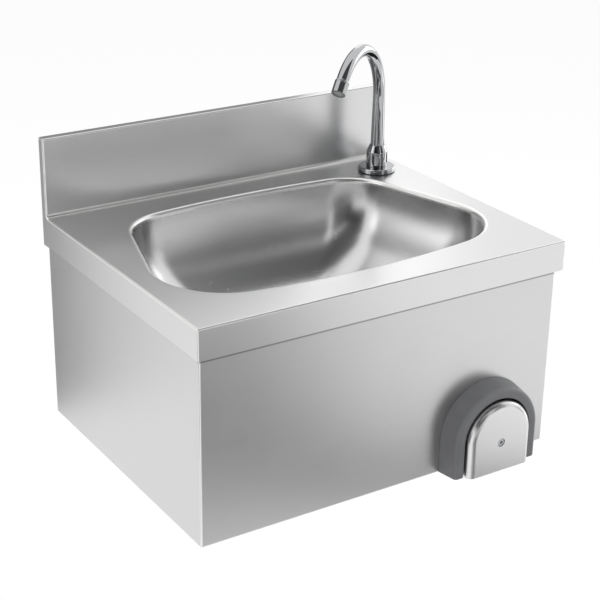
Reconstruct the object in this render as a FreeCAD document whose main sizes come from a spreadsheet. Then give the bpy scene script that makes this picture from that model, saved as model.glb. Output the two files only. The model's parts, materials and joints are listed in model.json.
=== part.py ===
import FreeCAD, Part
import math
import operator
import os

import Sketcher
from FreeCAD import Placement, Rotation, Vector

# Knee-operated hand wash sink for a wall. Millimetres. The origin is on the wall face, half way along
# the sink, at the height of the deck. X runs along the wall, Y into the wall and Z up.

doc = FreeCAD.newDocument("hand_wash_sink")
sheet = doc.addObject("Spreadsheet::Sheet", "Sizes")

OPERATIONS = {"+": operator.add, "-": operator.sub, "*": operator.mul, "/": operator.truediv}


class Size:
    """A length or an angle that remembers the sheet expression it was worked out from."""

    def __init__(self, value, text):
        self.value = value
        self.text = text

    def __add__(self, other):
        return joined(self, "+", other)

    def __radd__(self, other):
        return joined(other, "+", self)

    def __sub__(self, other):
        return joined(self, "-", other)

    def __rsub__(self, other):
        return joined(other, "-", self)

    def __mul__(self, other):
        return joined(self, "*", other)

    def __rmul__(self, other):
        return joined(other, "*", self)

    def __truediv__(self, other):
        return joined(self, "/", other)

    def __neg__(self):
        return joined(0, "-", self)


def size_of(item):
    """The item as a Size, also when it is a plain number."""
    if isinstance(item, Size):
        return item
    return Size(float(item), "({!r})".format(float(item)))


def joined(left, sign, right):
    left = size_of(left)
    right = size_of(right)
    value = OPERATIONS[sign](left.value, right.value)
    return Size(value, "({} {} {})".format(left.text, sign, right.text))


def cosine(angle):
    return Size(math.cos(math.radians(angle.value)), "cos({})".format(angle.text))


def sine(angle):
    return Size(math.sin(math.radians(angle.value)), "sin({})".format(angle.text))


sheet_rows = []


def size(alias, value):
    """One driving dimension: a plain number in a cell of the sheet, under its own name."""
    sheet_rows.append(alias)
    row = len(sheet_rows)
    sheet.set("A{}".format(row), alias)
    sheet.set("B{}".format(row), str(value))
    sheet.setAlias("B{}".format(row), alias)
    return Size(float(value), "Sizes." + alias)


# ---------------------------------------------------------------- driving dimensions

# Folded worktop
SINK_WIDTH = size("sink_width", 500)
SINK_DEPTH = size("sink_depth", 390)
UPSTAND_RISE = size("upstand_rise", 100)
UPSTAND_THICKNESS = size("upstand_thickness", 13)
APRON_DROP = size("apron_drop", 37.5)
SHEET_GAUGE = size("sheet_gauge", 1.2)
BEND_RADIUS = size("bend_radius", 2)
COVE_RADIUS = size("cove_radius", 5)

# Pressed bowl
BOWL_FRONT_SETBACK = size("bowl_front_setback", 45.5)
BOWL_REAR_SETBACK = size("bowl_rear_setback", 52)
BOWL_FRONT_MARGIN = size("bowl_front_margin", 3)
BOWL_REAR_MARGIN = size("bowl_rear_margin", 76)
BOWL_FRONT_SPAN = SINK_WIDTH - 2 * BOWL_FRONT_MARGIN
BOWL_REAR_SPAN = SINK_WIDTH - 2 * BOWL_REAR_MARGIN
BOWL_FRONT_BOW = size("bowl_front_bow", 34)
BOWL_REAR_BOW = size("bowl_rear_bow", 13)
BOWL_FRONT_CORNER_RADIUS = size("bowl_front_corner_radius", 90)
BOWL_REAR_CORNER_RADIUS = size("bowl_rear_corner_radius", 72)
BOWL_DEPTH = size("bowl_depth", 130)
BOWL_FLOOR_INSET = size("bowl_floor_inset", 98)
BOWL_SIDE_INSET = size("bowl_side_inset", 150)
LIP_RADIUS = size("lip_radius", 5)
LIP_DROP = size("lip_drop", 7)
LIP_LAND = size("lip_land", 3)

# Cabinet under the worktop
CABINET_HEIGHT = size("cabinet_height", 270)
CABINET_SIDE_INSET = size("cabinet_side_inset", 6)
CABINET_FRONT_INSET = size("cabinet_front_inset", 8)
TOP_FLANGE = size("top_flange", 17)
BOTTOM_FLANGE = size("bottom_flange", 15)
REAR_FLANGE = size("rear_flange", 20)
REAR_TOP_STRIP = size("rear_top_strip", 38)

# Rear rail and the holes for the wall screws
RAIL_THICKNESS = size("rail_thickness", 3)
RAIL_HEIGHT = size("rail_height", 32)
RAIL_END_INSET = size("rail_end_inset", 30)
RAIL_LENGTH = SINK_WIDTH - 2 * RAIL_END_INSET
WALL_HOLE_RADIUS = size("wall_hole_radius", 4.25)
RAIL_HOLE_INSET = size("rail_hole_inset", 20)
UPPER_HOLE_SPACING = RAIL_LENGTH - 2 * RAIL_HOLE_INSET
UPPER_HOLE_DROP = size("upper_hole_drop", 20)
LOWER_HOLE_DROP = size("lower_hole_drop", 235)

# Studs that hold the cabinet to the deck
STUD_RADIUS = size("stud_radius", 2.5)
STUD_LENGTH = size("stud_length", 12)
STUD_CLEARANCE = size("stud_clearance", 0.3)
STUD_SIDE_PITCH = size("stud_side_pitch", 130)
STUD_FRONT_SPACING = size("stud_front_spacing", 240)
STUD_WASHER_RADIUS = size("stud_washer_radius", 5)
STUD_WASHER_THICKNESS = size("stud_washer_thickness", 1)
STUD_NUT_WIDTH = size("stud_nut_width", 8)
STUD_NUT_HEIGHT = size("stud_nut_height", 4)

# Waste outlet in the bowl's floor
DRAIN_BACK = size("drain_back", 198)
TAIL_RADIUS = size("tail_radius", 20.95)
TAIL_WALL = size("tail_wall", 2.5)
TAIL_LENGTH = size("tail_length", 66)
TAIL_RELIEF_DEPTH = size("tail_relief_depth", 0.6)
TAIL_RELIEF_WIDTH = size("tail_relief_width", 2)
DRAIN_FLANGE_RADIUS = size("drain_flange_radius", 32)
DRAIN_FLANGE_THICKNESS = size("drain_flange_thickness", 2.5)
DRAIN_FLANGE_BEVEL = size("drain_flange_bevel", 1.2)
DRAIN_SEAL_THICKNESS = size("drain_seal_thickness", 1)
DRAIN_SEAL_INSET = size("drain_seal_inset", 1)
LOWER_SEAL_THICKNESS = size("lower_seal_thickness", 3)
DRAIN_WASHER_THICKNESS = size("drain_washer_thickness", 1.5)
DRAIN_NUT_WIDTH = size("drain_nut_width", 54)
DRAIN_NUT_HEIGHT = size("drain_nut_height", 10)
THREAD_GAP = size("thread_gap", 0.1)
DRAIN_HOLE_GAP = size("drain_hole_gap", 0.6)
STRAINER_THICKNESS = size("strainer_thickness", 1.5)
STRAINER_HOLE_RADIUS = size("strainer_hole_radius", 1.5)
STRAINER_INNER_RING = size("strainer_inner_ring", 7.5)
STRAINER_MIDDLE_RING = size("strainer_middle_ring", 12)
STRAINER_OUTER_RING = size("strainer_outer_ring", 16.3)
STRAINER_GAP = size("strainer_gap", 0.2)
STRAINER_SCREW_RADIUS = size("strainer_screw_radius", 2.5)
STRAINER_HEAD_RADIUS = size("strainer_head_radius", 4.5)
STRAINER_HEAD_HEIGHT = size("strainer_head_height", 2)
STRAINER_HEAD_BEVEL = size("strainer_head_bevel", 1)
STRAINER_SLOT_WIDTH = size("strainer_slot_width", 1.2)
STRAINER_SLOT_DEPTH = size("strainer_slot_depth", 1)
STRAINER_SCREW_LENGTH = size("strainer_screw_length", 14)
CROSSBAR_WIDTH = size("crossbar_width", 9)
CROSSBAR_HEIGHT = size("crossbar_height", 6)
CROSSBAR_DROP = size("crossbar_drop", 8)

# Tap
TAP_FROM_RIGHT = size("tap_from_right", 45)
TAP_FROM_WALL = size("tap_from_wall", 62)
TAP_FLANGE_RADIUS = size("tap_flange_radius", 24.75)
TAP_FLANGE_HEIGHT = size("tap_flange_height", 6)
TAP_FLANGE_BEVEL = size("tap_flange_bevel", 3.2)
TAP_GASKET_THICKNESS = size("tap_gasket_thickness", 1)
TAP_GASKET_RADIUS = size("tap_gasket_radius", 23)
TAP_BODY_RADIUS = size("tap_body_radius", 13.85)
TAP_BODY_HEIGHT = size("tap_body_height", 18)
TAP_NECK_RADIUS = size("tap_neck_radius", 11)
TAP_NECK_HEIGHT = size("tap_neck_height", 5)
SHANK_RADIUS = size("shank_radius", 10.4)
SHANK_LENGTH = size("shank_length", 45)
SHANK_SOCKET_RADIUS = size("shank_socket_radius", 7)
SHANK_GAP = size("shank_gap", 0.4)
WATERWAY_RADIUS = size("waterway_radius", 6)
UNDER_GASKET_THICKNESS = size("under_gasket_thickness", 2)
UNDER_WASHER_THICKNESS = size("under_washer_thickness", 1.6)
UNDER_WASHER_RADIUS = size("under_washer_radius", 17)
BACKNUT_WIDTH = size("backnut_width", 30)
BACKNUT_HEIGHT = size("backnut_height", 9)
FOOT_RADIUS = size("foot_radius", 8.5)
FOOT_LENGTH = size("foot_length", 21)
FOOT_END_GAP = size("foot_end_gap", 1)
SWIVEL_GAP = size("swivel_gap", 0.08)
SWIVEL_FLANGE_RADIUS = size("swivel_flange_radius", 10.6)
SWIVEL_FLANGE_HEIGHT = size("swivel_flange_height", 1.5)
COLLAR_HEIGHT = size("collar_height", 11)
COLLAR_BAND = size("collar_band", 1.8)
COLLAR_TOP_RADIUS = size("collar_top_radius", 10)
SPOUT_BASE_RADIUS = size("spout_base_radius", 9)
SPOUT_TUBE_RADIUS = size("spout_tube_radius", 7.9)
SPOUT_BORE_RADIUS = size("spout_bore_radius", 6.2)
SPOUT_STRAIGHT = size("spout_straight", 102)
SPOUT_BEND_RADIUS = size("spout_bend_radius", 76)
SPOUT_SWEEP = size("spout_sweep", 136)
SPOUT_END = size("spout_end", 8)
SPOUT_HEADING = size("spout_heading", 34)
RING_WIRE_RADIUS = size("ring_wire_radius", 1)
RING_GAP = size("ring_gap", 0.04)
GROOVE_SPARE = size("groove_spare", 0.4)
GROOVE_LAND = size("groove_land", 3)
AERATOR_RADIUS = size("aerator_radius", 9.1)
AERATOR_LENGTH = size("aerator_length", 17.5)
AERATOR_OVERLAP = size("aerator_overlap", 6)
AERATOR_LIP = size("aerator_lip", 1.2)
AERATOR_BEVEL = size("aerator_bevel", 0.8)
AERATOR_PLATE = size("aerator_plate", 3)
AERATOR_CORE_GAP = size("aerator_core_gap", 2)
AERATOR_WALL = size("aerator_wall", 1.5)
AERATOR_SEAL_THICKNESS = size("aerator_seal_thickness", 1.5)
AERATOR_HOLE_RADIUS = size("aerator_hole_radius", 0.9)
AERATOR_RING = size("aerator_ring", 4.6)

# Knee guard and push pad, seen from the front
KNEE_FROM_RIGHT = size("knee_from_right", 102)
KNEE_RIGHT = SINK_WIDTH / 2 - KNEE_FROM_RIGHT
ARCH_HEIGHT = size("arch_height", 45)
GUARD_RADIUS = size("guard_radius", 65.5)
GUARD_DEPTH = size("guard_depth", 28)
GUARD_TAPER = size("guard_taper", 9)
GUARD_EDGE_RADIUS = size("guard_edge_radius", 5)
GUARD_OPENING_RADIUS = size("guard_opening_radius", 49)
GUARD_BACK_WALL = size("guard_back_wall", 3)
GUARD_FRONT_WALL = size("guard_front_wall", 3.5)
GUARD_INNER_WALL = size("guard_inner_wall", 2.5)
GUARD_OUTER_WALL = size("guard_outer_wall", 6)
GUARD_FOOT_GAP = size("guard_foot_gap", 1)
GUARD_BOSS_RADIUS = size("guard_boss_radius", 3.6)
GUARD_SCREW_RADIUS = size("guard_screw_radius", 1.75)
GUARD_SCREW_HEAD_RADIUS = size("guard_screw_head_radius", 3.8)
GUARD_SCREW_HEAD_HEIGHT = size("guard_screw_head_height", 2.2)
GUARD_SCREW_REACH = size("guard_screw_reach", 12)
GUARD_SCREW_RING = size("guard_screw_ring", 55)
PAD_RADIUS = size("pad_radius", 46.5)
PAD_STAND_OUT = size("pad_stand_out", 8)
PAD_EDGE_RADIUS = size("pad_edge_radius", 8.5)
PAD_FOOT_GAP = size("pad_foot_gap", 0.5)
PAD_TRAVEL = size("pad_travel", 8)
PAD_STOP_GAP = size("pad_stop_gap", 0.3)
AXIS_DROP = size("axis_drop", 5.5)

# Knee valve, along its own axis
CORE_GAP = size("core_gap", 0.2)
CORE_LENGTH = size("core_length", 9)
CORE_BOSS_RADIUS = size("core_boss_radius", 7)
CORE_BOSS_LENGTH = size("core_boss_length", 5)
SPRING_POCKET = size("spring_pocket", 4)
SPRING_CUP_RADIUS = size("spring_cup_radius", 13.5)
STEM_RADIUS = size("stem_radius", 4)
STEM_GAP = size("stem_gap", 0.06)
STEM_INSET = size("stem_inset", 5)
STEM_END_GAP = size("stem_end_gap", 0.5)
PAD_SCREW_RADIUS = size("pad_screw_radius", 2)
PAD_SCREW_HEAD_RADIUS = size("pad_screw_head_radius", 4.9)
PAD_SCREW_HEAD_HEIGHT = size("pad_screw_head_height", 2.7)
PAD_SCREW_REACH = size("pad_screw_reach", 9)
PAD_SCREW_SOCKET = size("pad_screw_socket", 3.2)
PAD_SCREW_SOCKET_DEPTH = size("pad_screw_socket_depth", 1.5)
PAD_SCREW_SINK = size("pad_screw_sink", 0.3)
SCREW_RING_GAP = size("screw_ring_gap", 0.4)
BONNET_FLANGE_RADIUS = size("bonnet_flange_radius", 17)
BONNET_FLANGE_HEIGHT = size("bonnet_flange_height", 3)
BONNET_RADIUS = size("bonnet_radius", 12)
BONNET_LENGTH = size("bonnet_length", 22)
BONNET_GAP = size("bonnet_gap", 0.2)
LOCKNUT_WIDTH = size("locknut_width", 36)
LOCKNUT_HEIGHT = size("locknut_height", 6)
VALVE_START = size("valve_start", 9)
VALVE_RADIUS = size("valve_radius", 15)
CHAMBER_RADIUS = size("chamber_radius", 9)
FRONT_CHAMBER = size("front_chamber", 14)
SEAT_THICKNESS = size("seat_thickness", 3)
SEAT_RADIUS = size("seat_radius", 6)
REAR_CHAMBER = size("rear_chamber", 18)
POPPET_RADIUS = size("poppet_radius", 8)
POPPET_THICKNESS = size("poppet_thickness", 4)
POPPET_SPIGOT = size("poppet_spigot", 2.5)
POPPET_NUT_WIDTH = size("poppet_nut_width", 8)
POPPET_NUT_HEIGHT = size("poppet_nut_height", 3)
INLET_SOCKET = size("inlet_socket", 6)
INLET_SEAL_THICKNESS = size("inlet_seal_thickness", 1.5)
INLET_RADIUS = size("inlet_radius", 10.48)
INLET_LENGTH = size("inlet_length", 16)
INLET_HEX_WIDTH = size("inlet_hex_width", 27)
INLET_HEX_HEIGHT = size("inlet_hex_height", 6)
INLET_BORE_RADIUS = size("inlet_bore_radius", 6)
OUTLET_RADIUS = size("outlet_radius", 8.3)
OUTLET_RISE = size("outlet_rise", 24)
OUTLET_FOOT_GAP = size("outlet_foot_gap", 0.3)

# Return spring
SPRING_WIRE_RADIUS = size("spring_wire_radius", 0.7)
SPRING_RADIUS = size("spring_radius", 10.4)
SPRING_TURNS = size("spring_turns", 5)
SPRING_SEAT_GAP = size("spring_seat_gap", 0.1)

# Rigid pipe from the valve to the tap
PIPE_RADIUS = size("pipe_radius", 5)
PIPE_WALL = size("pipe_wall", 1)
PIPE_BEND = size("pipe_bend", 28)
PIPE_LOW = size("pipe_low", 152)
PIPE_INSERT = size("pipe_insert", 4)
OLIVE_RADIUS = size("olive_radius", 6.8)
OLIVE_HEIGHT = size("olive_height", 6)
PIPE_NUT_WIDTH = size("pipe_nut_width", 22)
PIPE_NUT_HEIGHT = size("pipe_nut_height", 12)
PIPE_NUT_ROOF = size("pipe_nut_roof", 3)
ADAPTER_LENGTH = size("adapter_length", 14)
ADAPTER_FLANGE = size("adapter_flange", 3)
ADAPTER_THREAD = size("adapter_thread", 12)
ADAPTER_BORE_RADIUS = size("adapter_bore_radius", 4)

# ---------------------------------------------------------------- helpers

TURNS = {
    "z": Rotation(),
    "y": Rotation(Vector(1, 0, 0), -90),
    "-y": Rotation(Vector(1, 0, 0), 90),
    "x": Rotation(Vector(0, 1, 0), 90),
}
ORIGIN_POINT = -1
H_AXIS = -1
V_AXIS = -2
START, END, CENTRE = range(1, 4)  # the points of a sketch element
HEX_SIDES = 6
SPARE = 1  # how far a cutter runs past the face it opens

parts = []


def bind(thing, prop, amount):
    thing.setExpression(prop, size_of(amount).text)


def place(thing, x=0, y=0, z=0, turn="z"):
    thing.Placement = Placement(Vector(), TURNS[turn])
    for axis, amount in zip("xyz", (x, y, z)):
        bind(thing, "Placement.Base." + axis, amount)
    return thing


def keep(thing, label):
    """The finished shape of one sub-part: its label is the name of its file."""
    thing.Label = label
    parts.append(thing)
    return thing


def box(name, x_span, y_span, z_span):
    thing = doc.addObject("Part::Box", name)
    for prop, span in zip(("Length", "Width", "Height"), (x_span, y_span, z_span)):
        bind(thing, prop, size_of(span[1]) - span[0])
    return place(thing, x_span[0], y_span[0], z_span[0])


def rod(name, radius, length, x=0, y=0, z=0, turn="z"):
    thing = doc.addObject("Part::Cylinder", name)
    bind(thing, "Radius", radius)
    bind(thing, "Height", length)
    return place(thing, x, y, z, turn)


def drill(name, radius, length, x=0, y=0, z=0, turn="z"):
    """A rod that cuts a hole, run a little past both ends of it."""
    at = {"x": x, "y": y, "z": z}
    axis = turn[-1]
    at[axis] = at[axis] + (SPARE if turn.startswith("-") else -SPARE)
    return rod(name, radius, length + 2 * SPARE, at["x"], at["y"], at["z"], turn)


def hexagon(name, width, height, x=0, y=0, z=0, turn="z"):
    """A six-sided block, width across its flats."""
    thing = doc.addObject("Part::Prism", name)
    thing.Polygon = HEX_SIDES
    bind(thing, "Circumradius", width / (2 * math.cos(math.pi / HEX_SIDES)))
    bind(thing, "Height", height)
    return place(thing, x, y, z, turn)


def ring(name, radius, wire_radius, x=0, y=0, z=0, turn="z"):
    thing = doc.addObject("Part::Torus", name)
    bind(thing, "Radius1", radius)
    bind(thing, "Radius2", wire_radius)
    return place(thing, x, y, z, turn)


def fuse(name, *things):
    if len(things) == 1:
        return things[0]
    thing = doc.addObject("Part::MultiFuse", name)
    thing.Shapes = list(things)
    thing.Refine = True
    return thing


def cut(name, base, *tools):
    thing = doc.addObject("Part::Cut", name)
    thing.Base = base
    thing.Tool = fuse(name + "_tools", *tools)
    thing.Refine = True
    return thing


def group(name, things):
    thing = doc.addObject("Part::Compound", name)
    thing.Links = list(things)
    return thing


def new_body(name):
    return doc.addObject("PartDesign::Body", name)


def new_sketch(body, name, role, offset=None):
    """A sketch on one of the body's own origin planes, moved along the plane's normal if asked."""
    sketch = body.newObject("Sketcher::SketchObject", name)
    plane = [item for item in body.Origin.OriginFeatures if item.Role == role][0]
    sketch.AttachmentSupport = [(plane, "")]
    sketch.MapMode = "FlatFace"
    if offset is not None:
        bind(sketch, "AttachmentOffset.Base.z", offset)
    return sketch


def pin(sketch, element, point, kind, amount):
    """Fixes one coordinate of a point at an amount from the sketch's origin."""
    amount = size_of(amount)
    if abs(amount.value) < 1e-9:
        axis = V_AXIS if kind == "DistanceX" else H_AXIS
        sketch.addConstraint(Sketcher.Constraint("PointOnObject", element, point, axis))
        return
    if amount.value > 0:
        rule = Sketcher.Constraint(kind, ORIGIN_POINT, START, element, point, amount.value)
    else:
        rule = Sketcher.Constraint(kind, element, point, ORIGIN_POINT, START, -amount.value)
        amount = -amount
    index = sketch.addConstraint(rule)
    sketch.setExpression("Constraints[{}]".format(index), amount.text)


def measure(sketch, kind, element, amount):
    index = sketch.addConstraint(Sketcher.Constraint(kind, element, size_of(amount).value))
    sketch.setExpression("Constraints[{}]".format(index), size_of(amount).text)


def trace(sketch, corners):
    """A closed outline of straight lines, each corner held at its own pair of sizes."""
    corners = [(size_of(x), size_of(y)) for x, y in corners]
    count = len(corners)
    points = [Vector(x.value, y.value, 0) for x, y in corners]
    for index in range(count):
        sketch.addGeometry(Part.LineSegment(points[index], points[(index + 1) % count]))
    for index in range(count):
        following = (index + 1) % count
        sketch.addConstraint(Sketcher.Constraint("Coincident", index, END, following, START))
    for index, (x, y) in enumerate(corners):
        pin(sketch, index, START, "DistanceX", x)
        pin(sketch, index, START, "DistanceY", y)


def circle(sketch, radius, x=0, y=0):
    radius = size_of(radius)
    place_at = Vector(size_of(x).value, size_of(y).value, 0)
    index = sketch.addGeometry(Part.Circle(place_at, Vector(0, 0, 1), radius.value))
    measure(sketch, "Radius", index, radius)
    pin(sketch, index, CENTRE, "DistanceX", x)
    pin(sketch, index, CENTRE, "DistanceY", y)


def arch(sketch, radius, leg):
    """A round-topped outline about the sketch's origin, with straight legs down to a flat foot."""
    radius = size_of(radius)
    leg = size_of(leg)
    side = radius.value
    foot = -leg.value
    top = Part.ArcOfCircle(Part.Circle(Vector(), Vector(0, 0, 1), side), 0, math.pi)
    sketch.addGeometry(top)
    sketch.addGeometry(Part.LineSegment(Vector(-side, 0, 0), Vector(-side, foot, 0)))
    sketch.addGeometry(Part.LineSegment(Vector(-side, foot, 0), Vector(side, foot, 0)))
    sketch.addGeometry(Part.LineSegment(Vector(side, foot, 0), Vector(side, 0, 0)))
    rules = (
        ("Coincident", 0, CENTRE, ORIGIN_POINT, START),
        ("PointOnObject", 0, START, H_AXIS),
        ("PointOnObject", 0, END, H_AXIS),
        ("Coincident", 0, END, 1, START),
        ("Coincident", 1, END, 2, START),
        ("Coincident", 2, END, 3, START),
        ("Coincident", 3, END, 0, START),
        ("Vertical", 1),
        ("Vertical", 3),
    )
    for rule in rules:
        sketch.addConstraint(Sketcher.Constraint(*rule))
    measure(sketch, "Radius", 0, radius)
    pin(sketch, 1, END, "DistanceY", -leg)
    pin(sketch, 3, START, "DistanceY", -leg)


def pad(body, name, sketch, length, reverse=False, middle=False, taper=None):
    feature = body.newObject("PartDesign::Pad", name)
    feature.Profile = sketch
    bind(feature, "Length", length)
    feature.Reversed = reverse
    feature.SideType = "Symmetric" if middle else "One side"
    if taper is not None:
        bind(feature, "TaperAngle", taper)
    return feature


def pocket(body, name, sketch, length, reverse=False, middle=False):
    """A pocket, checked to have taken something away."""
    doc.recompute()
    before = body.Shape.Volume
    feature = body.newObject("PartDesign::Pocket", name)
    feature.Profile = sketch
    bind(feature, "Length", length)
    feature.Reversed = reverse
    feature.SideType = "Symmetric" if middle else "One side"
    doc.recompute()
    if not body.Shape.Volume < before:
        raise RuntimeError(name + " cuts nothing")
    return feature


def fillet(body, name, base, radius, chosen):
    """Rounds the edges of a body's feature that the test picks."""
    doc.recompute()
    edges = ["Edge{}".format(i + 1) for i, edge in enumerate(base.Shape.Edges) if chosen(edge)]
    if not edges:
        raise RuntimeError(name + " found no edge")
    feature = body.newObject("PartDesign::Fillet", name)
    feature.Base = (base, edges)
    bind(feature, "Radius", radius)
    return feature


def turned(name, outline, x=0, y=0, z=0, turn="z"):
    """A turned piece: (radius, station) corners revolved about the piece's own axis."""
    body = new_body(name)
    sketch = new_sketch(body, name + "_outline", "XZ_Plane")
    trace(sketch, outline)
    feature = body.newObject("PartDesign::Revolution", name + "_turn")
    feature.Profile = sketch
    feature.ReferenceAxis = (sketch, ["V_Axis"])
    feature.Angle = 360
    return place(body, x, y, z, turn)


def washer(name, inner, outer, low, high, x=0, y=0, z=0, turn="z"):
    return turned(name, [(inner, low), (outer, low), (outer, high), (inner, high)], x, y, z, turn)


def feature_of(name, shape):
    thing = doc.addObject("Part::Feature", name)
    thing.Shape = shape
    return thing


def near(value, target, reach=0.05):
    return abs(value - target) < reach


def spread(edge, axis):
    """How far an edge reaches along one axis."""
    bounds = edge.BoundBox
    return {"x": bounds.XLength, "y": bounds.YLength, "z": bounds.ZLength}[axis]


# ---------------------------------------------------------------- places worked out from the sizes

half_width = SINK_WIDTH / 2
deck_front = -SINK_DEPTH
deck_under = -SHEET_GAUGE
cabinet_side = half_width - CABINET_SIDE_INSET
cabinet_front = deck_front + CABINET_FRONT_INSET
cabinet_rear = -SHEET_GAUGE
cabinet_foot = -CABINET_HEIGHT
bowl_middle = (BOWL_FRONT_SETBACK - BOWL_REAR_SETBACK - SINK_DEPTH) / 2
tap_x = half_width - TAP_FROM_RIGHT
tap_y = -TAP_FROM_WALL
knee_z = cabinet_foot + ARCH_HEIGHT
pad_front = cabinet_front - GUARD_DEPTH - PAD_STAND_OUT
pad_rear = cabinet_front - GUARD_BACK_WALL - PAD_TRAVEL - PAD_STOP_GAP
pad_depth = pad_rear - pad_front
axis_z = knee_z - AXIS_DROP

# ---------------------------------------------------------------- worktop


def rim_solid(low, high):
    """A block under the bowl's rim outline, between two heights."""
    front = deck_front.value + BOWL_FRONT_SETBACK.value
    rear = -BOWL_REAR_SETBACK.value
    wide = BOWL_FRONT_SPAN.value / 2
    narrow = BOWL_REAR_SPAN.value / 2
    front_left = Vector(-wide, front + BOWL_FRONT_BOW.value, low)
    front_right = Vector(wide, front + BOWL_FRONT_BOW.value, low)
    rear_right = Vector(narrow, rear - BOWL_REAR_BOW.value, low)
    rear_left = Vector(-narrow, rear - BOWL_REAR_BOW.value, low)
    edges = [
        Part.Arc(front_left, Vector(0, front, low), front_right).toShape(),
        Part.makeLine(front_right, rear_right),
        Part.Arc(rear_right, Vector(0, rear, low), rear_left).toShape(),
        Part.makeLine(rear_left, front_left),
    ]
    block = Part.Face(Part.Wire(edges)).extrude(Vector(0, 0, high - low))
    upright = [edge for edge in block.Edges if near(edge.BoundBox.ZLength, high - low)]
    back = [edge for edge in upright if edge.CenterOfMass.y > bowl_middle.value]
    block = block.makeFillet(BOWL_REAR_CORNER_RADIUS.value, back)
    upright = [edge for edge in block.Edges if near(edge.BoundBox.ZLength, high - low)]
    front_corners = [edge for edge in upright if near(abs(edge.CenterOfMass.x), wide)]
    return block.makeFillet(BOWL_FRONT_CORNER_RADIUS.value, front_corners)


def rim_wire(inset, height):
    """The rim outline at one height, drawn in by an inset."""
    block = rim_solid(height, height + SPARE)
    foot = min(block.Faces, key=lambda face: face.CenterOfMass.z)
    if near(inset, 0):
        return foot.OuterWire
    return foot.OuterWire.makeOffset2D(-inset)


def rim_block(inset, low, high):
    return Part.Face(rim_wire(inset, low)).extrude(Vector(0, 0, high - low))


def round_inner_top(block, height, radius, inset):
    """Rounds the inner edge loop at the top of a ring."""
    limit = rim_wire(inset - SPARE, height).BoundBox
    loop = [
        edge
        for edge in block.Edges
        if near(edge.BoundBox.ZMin, height)
        and near(edge.BoundBox.ZMax, height)
        and edge.BoundBox.XMax < limit.XMax
        and edge.BoundBox.XMin > limit.XMin
        and edge.BoundBox.YMax < limit.YMax
        and edge.BoundBox.YMin > limit.YMin
    ]
    return block.makeFillet(radius, loop)


def make_lip():
    """The deck's pressed edge that rolls down into the bowl, at the gauge of the sheet."""
    gauge = SHEET_GAUGE.value
    radius = LIP_RADIUS.value
    land = LIP_LAND.value
    bottom = -LIP_DROP.value
    ring_outside = rim_block(-land, bottom, 0).cut(rim_block(radius, bottom - SPARE, SPARE))
    ring_outside = round_inner_top(ring_outside, 0, radius, radius)
    under = rim_block(-land - SPARE, bottom - SPARE, -gauge)
    under = under.cut(rim_block(radius - gauge, bottom - 2 * SPARE, SPARE))
    under = round_inner_top(under, -gauge, radius - gauge, radius - gauge)
    return ring_outside.cut(under)


def make_worktop():
    body = new_body("worktop_sheet")
    outline = new_sketch(body, "worktop_outline", "YZ_Plane")
    low = -APRON_DROP
    trace(outline, [
        (deck_front, low),
        (deck_front, 0),
        (-UPSTAND_THICKNESS, 0),
        (-UPSTAND_THICKNESS, UPSTAND_RISE),
        (0, UPSTAND_RISE),
        (0, low),
    ])
    block = pad(body, "worktop_block", outline, SINK_WIDTH, middle=True)
    face = -UPSTAND_THICKNESS.value
    cove = fillet(
        body, "worktop_cove", block, COVE_RADIUS,
        lambda e: near(e.CenterOfMass.y, face) and near(e.CenterOfMass.z, 0),
    )
    top = UPSTAND_RISE.value
    front = deck_front.value
    bends = fillet(
        body, "worktop_bends", cove, BEND_RADIUS,
        lambda e: (near(e.CenterOfMass.y, front) and near(e.CenterOfMass.z, 0))
        or (near(e.CenterOfMass.z, top) and near(e.CenterOfMass.y, face))
        or (near(e.CenterOfMass.y, front) and spread(e, "z") > SPARE),
    )
    doc.recompute()
    hollow = new_sketch(body, "worktop_hollow_outline", "YZ_Plane")
    gauge = SHEET_GAUGE
    trace(hollow, [
        (deck_front + gauge, low - gauge),
        (deck_front + gauge, -gauge),
        (gauge - UPSTAND_THICKNESS, -gauge),
        (gauge - UPSTAND_THICKNESS, UPSTAND_RISE - gauge),
        (-gauge, UPSTAND_RISE - gauge),
        (-gauge, low - gauge),
    ])
    pocket(body, "worktop_hollow", hollow, SINK_WIDTH - 2 * gauge, middle=True)
    opening = feature_of("bowl_opening", rim_block(-LIP_LAND.value, -gauge.value - SPARE, SPARE))
    lip = feature_of("bowl_lip", make_lip())
    tap_hole = drill("tap_hole", SHANK_RADIUS + SHANK_GAP, SHEET_GAUGE, tap_x, tap_y, deck_under)
    holes = wall_holes("worktop")
    cut_sheet = cut("worktop_cut", body, opening, tap_hole, *holes)
    return keep(fuse("worktop_solid", cut_sheet, lip), "worktop")


def wall_holes(name):
    """Cutters for the two upper wall screws, through the worktop, the cabinet and the rail."""
    thickness = RAIL_THICKNESS + 2 * SHEET_GAUGE
    return [
        drill(
            "{}_wall_hole_{}".format(name, side), WALL_HOLE_RADIUS, thickness,
            sign * UPPER_HOLE_SPACING / 2, -thickness, -UPPER_HOLE_DROP, "y",
        )
        for side, sign in (("left", -1), ("right", 1))
    ]


# ---------------------------------------------------------------- bowl

BOWL_SECTIONS = 9


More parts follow.
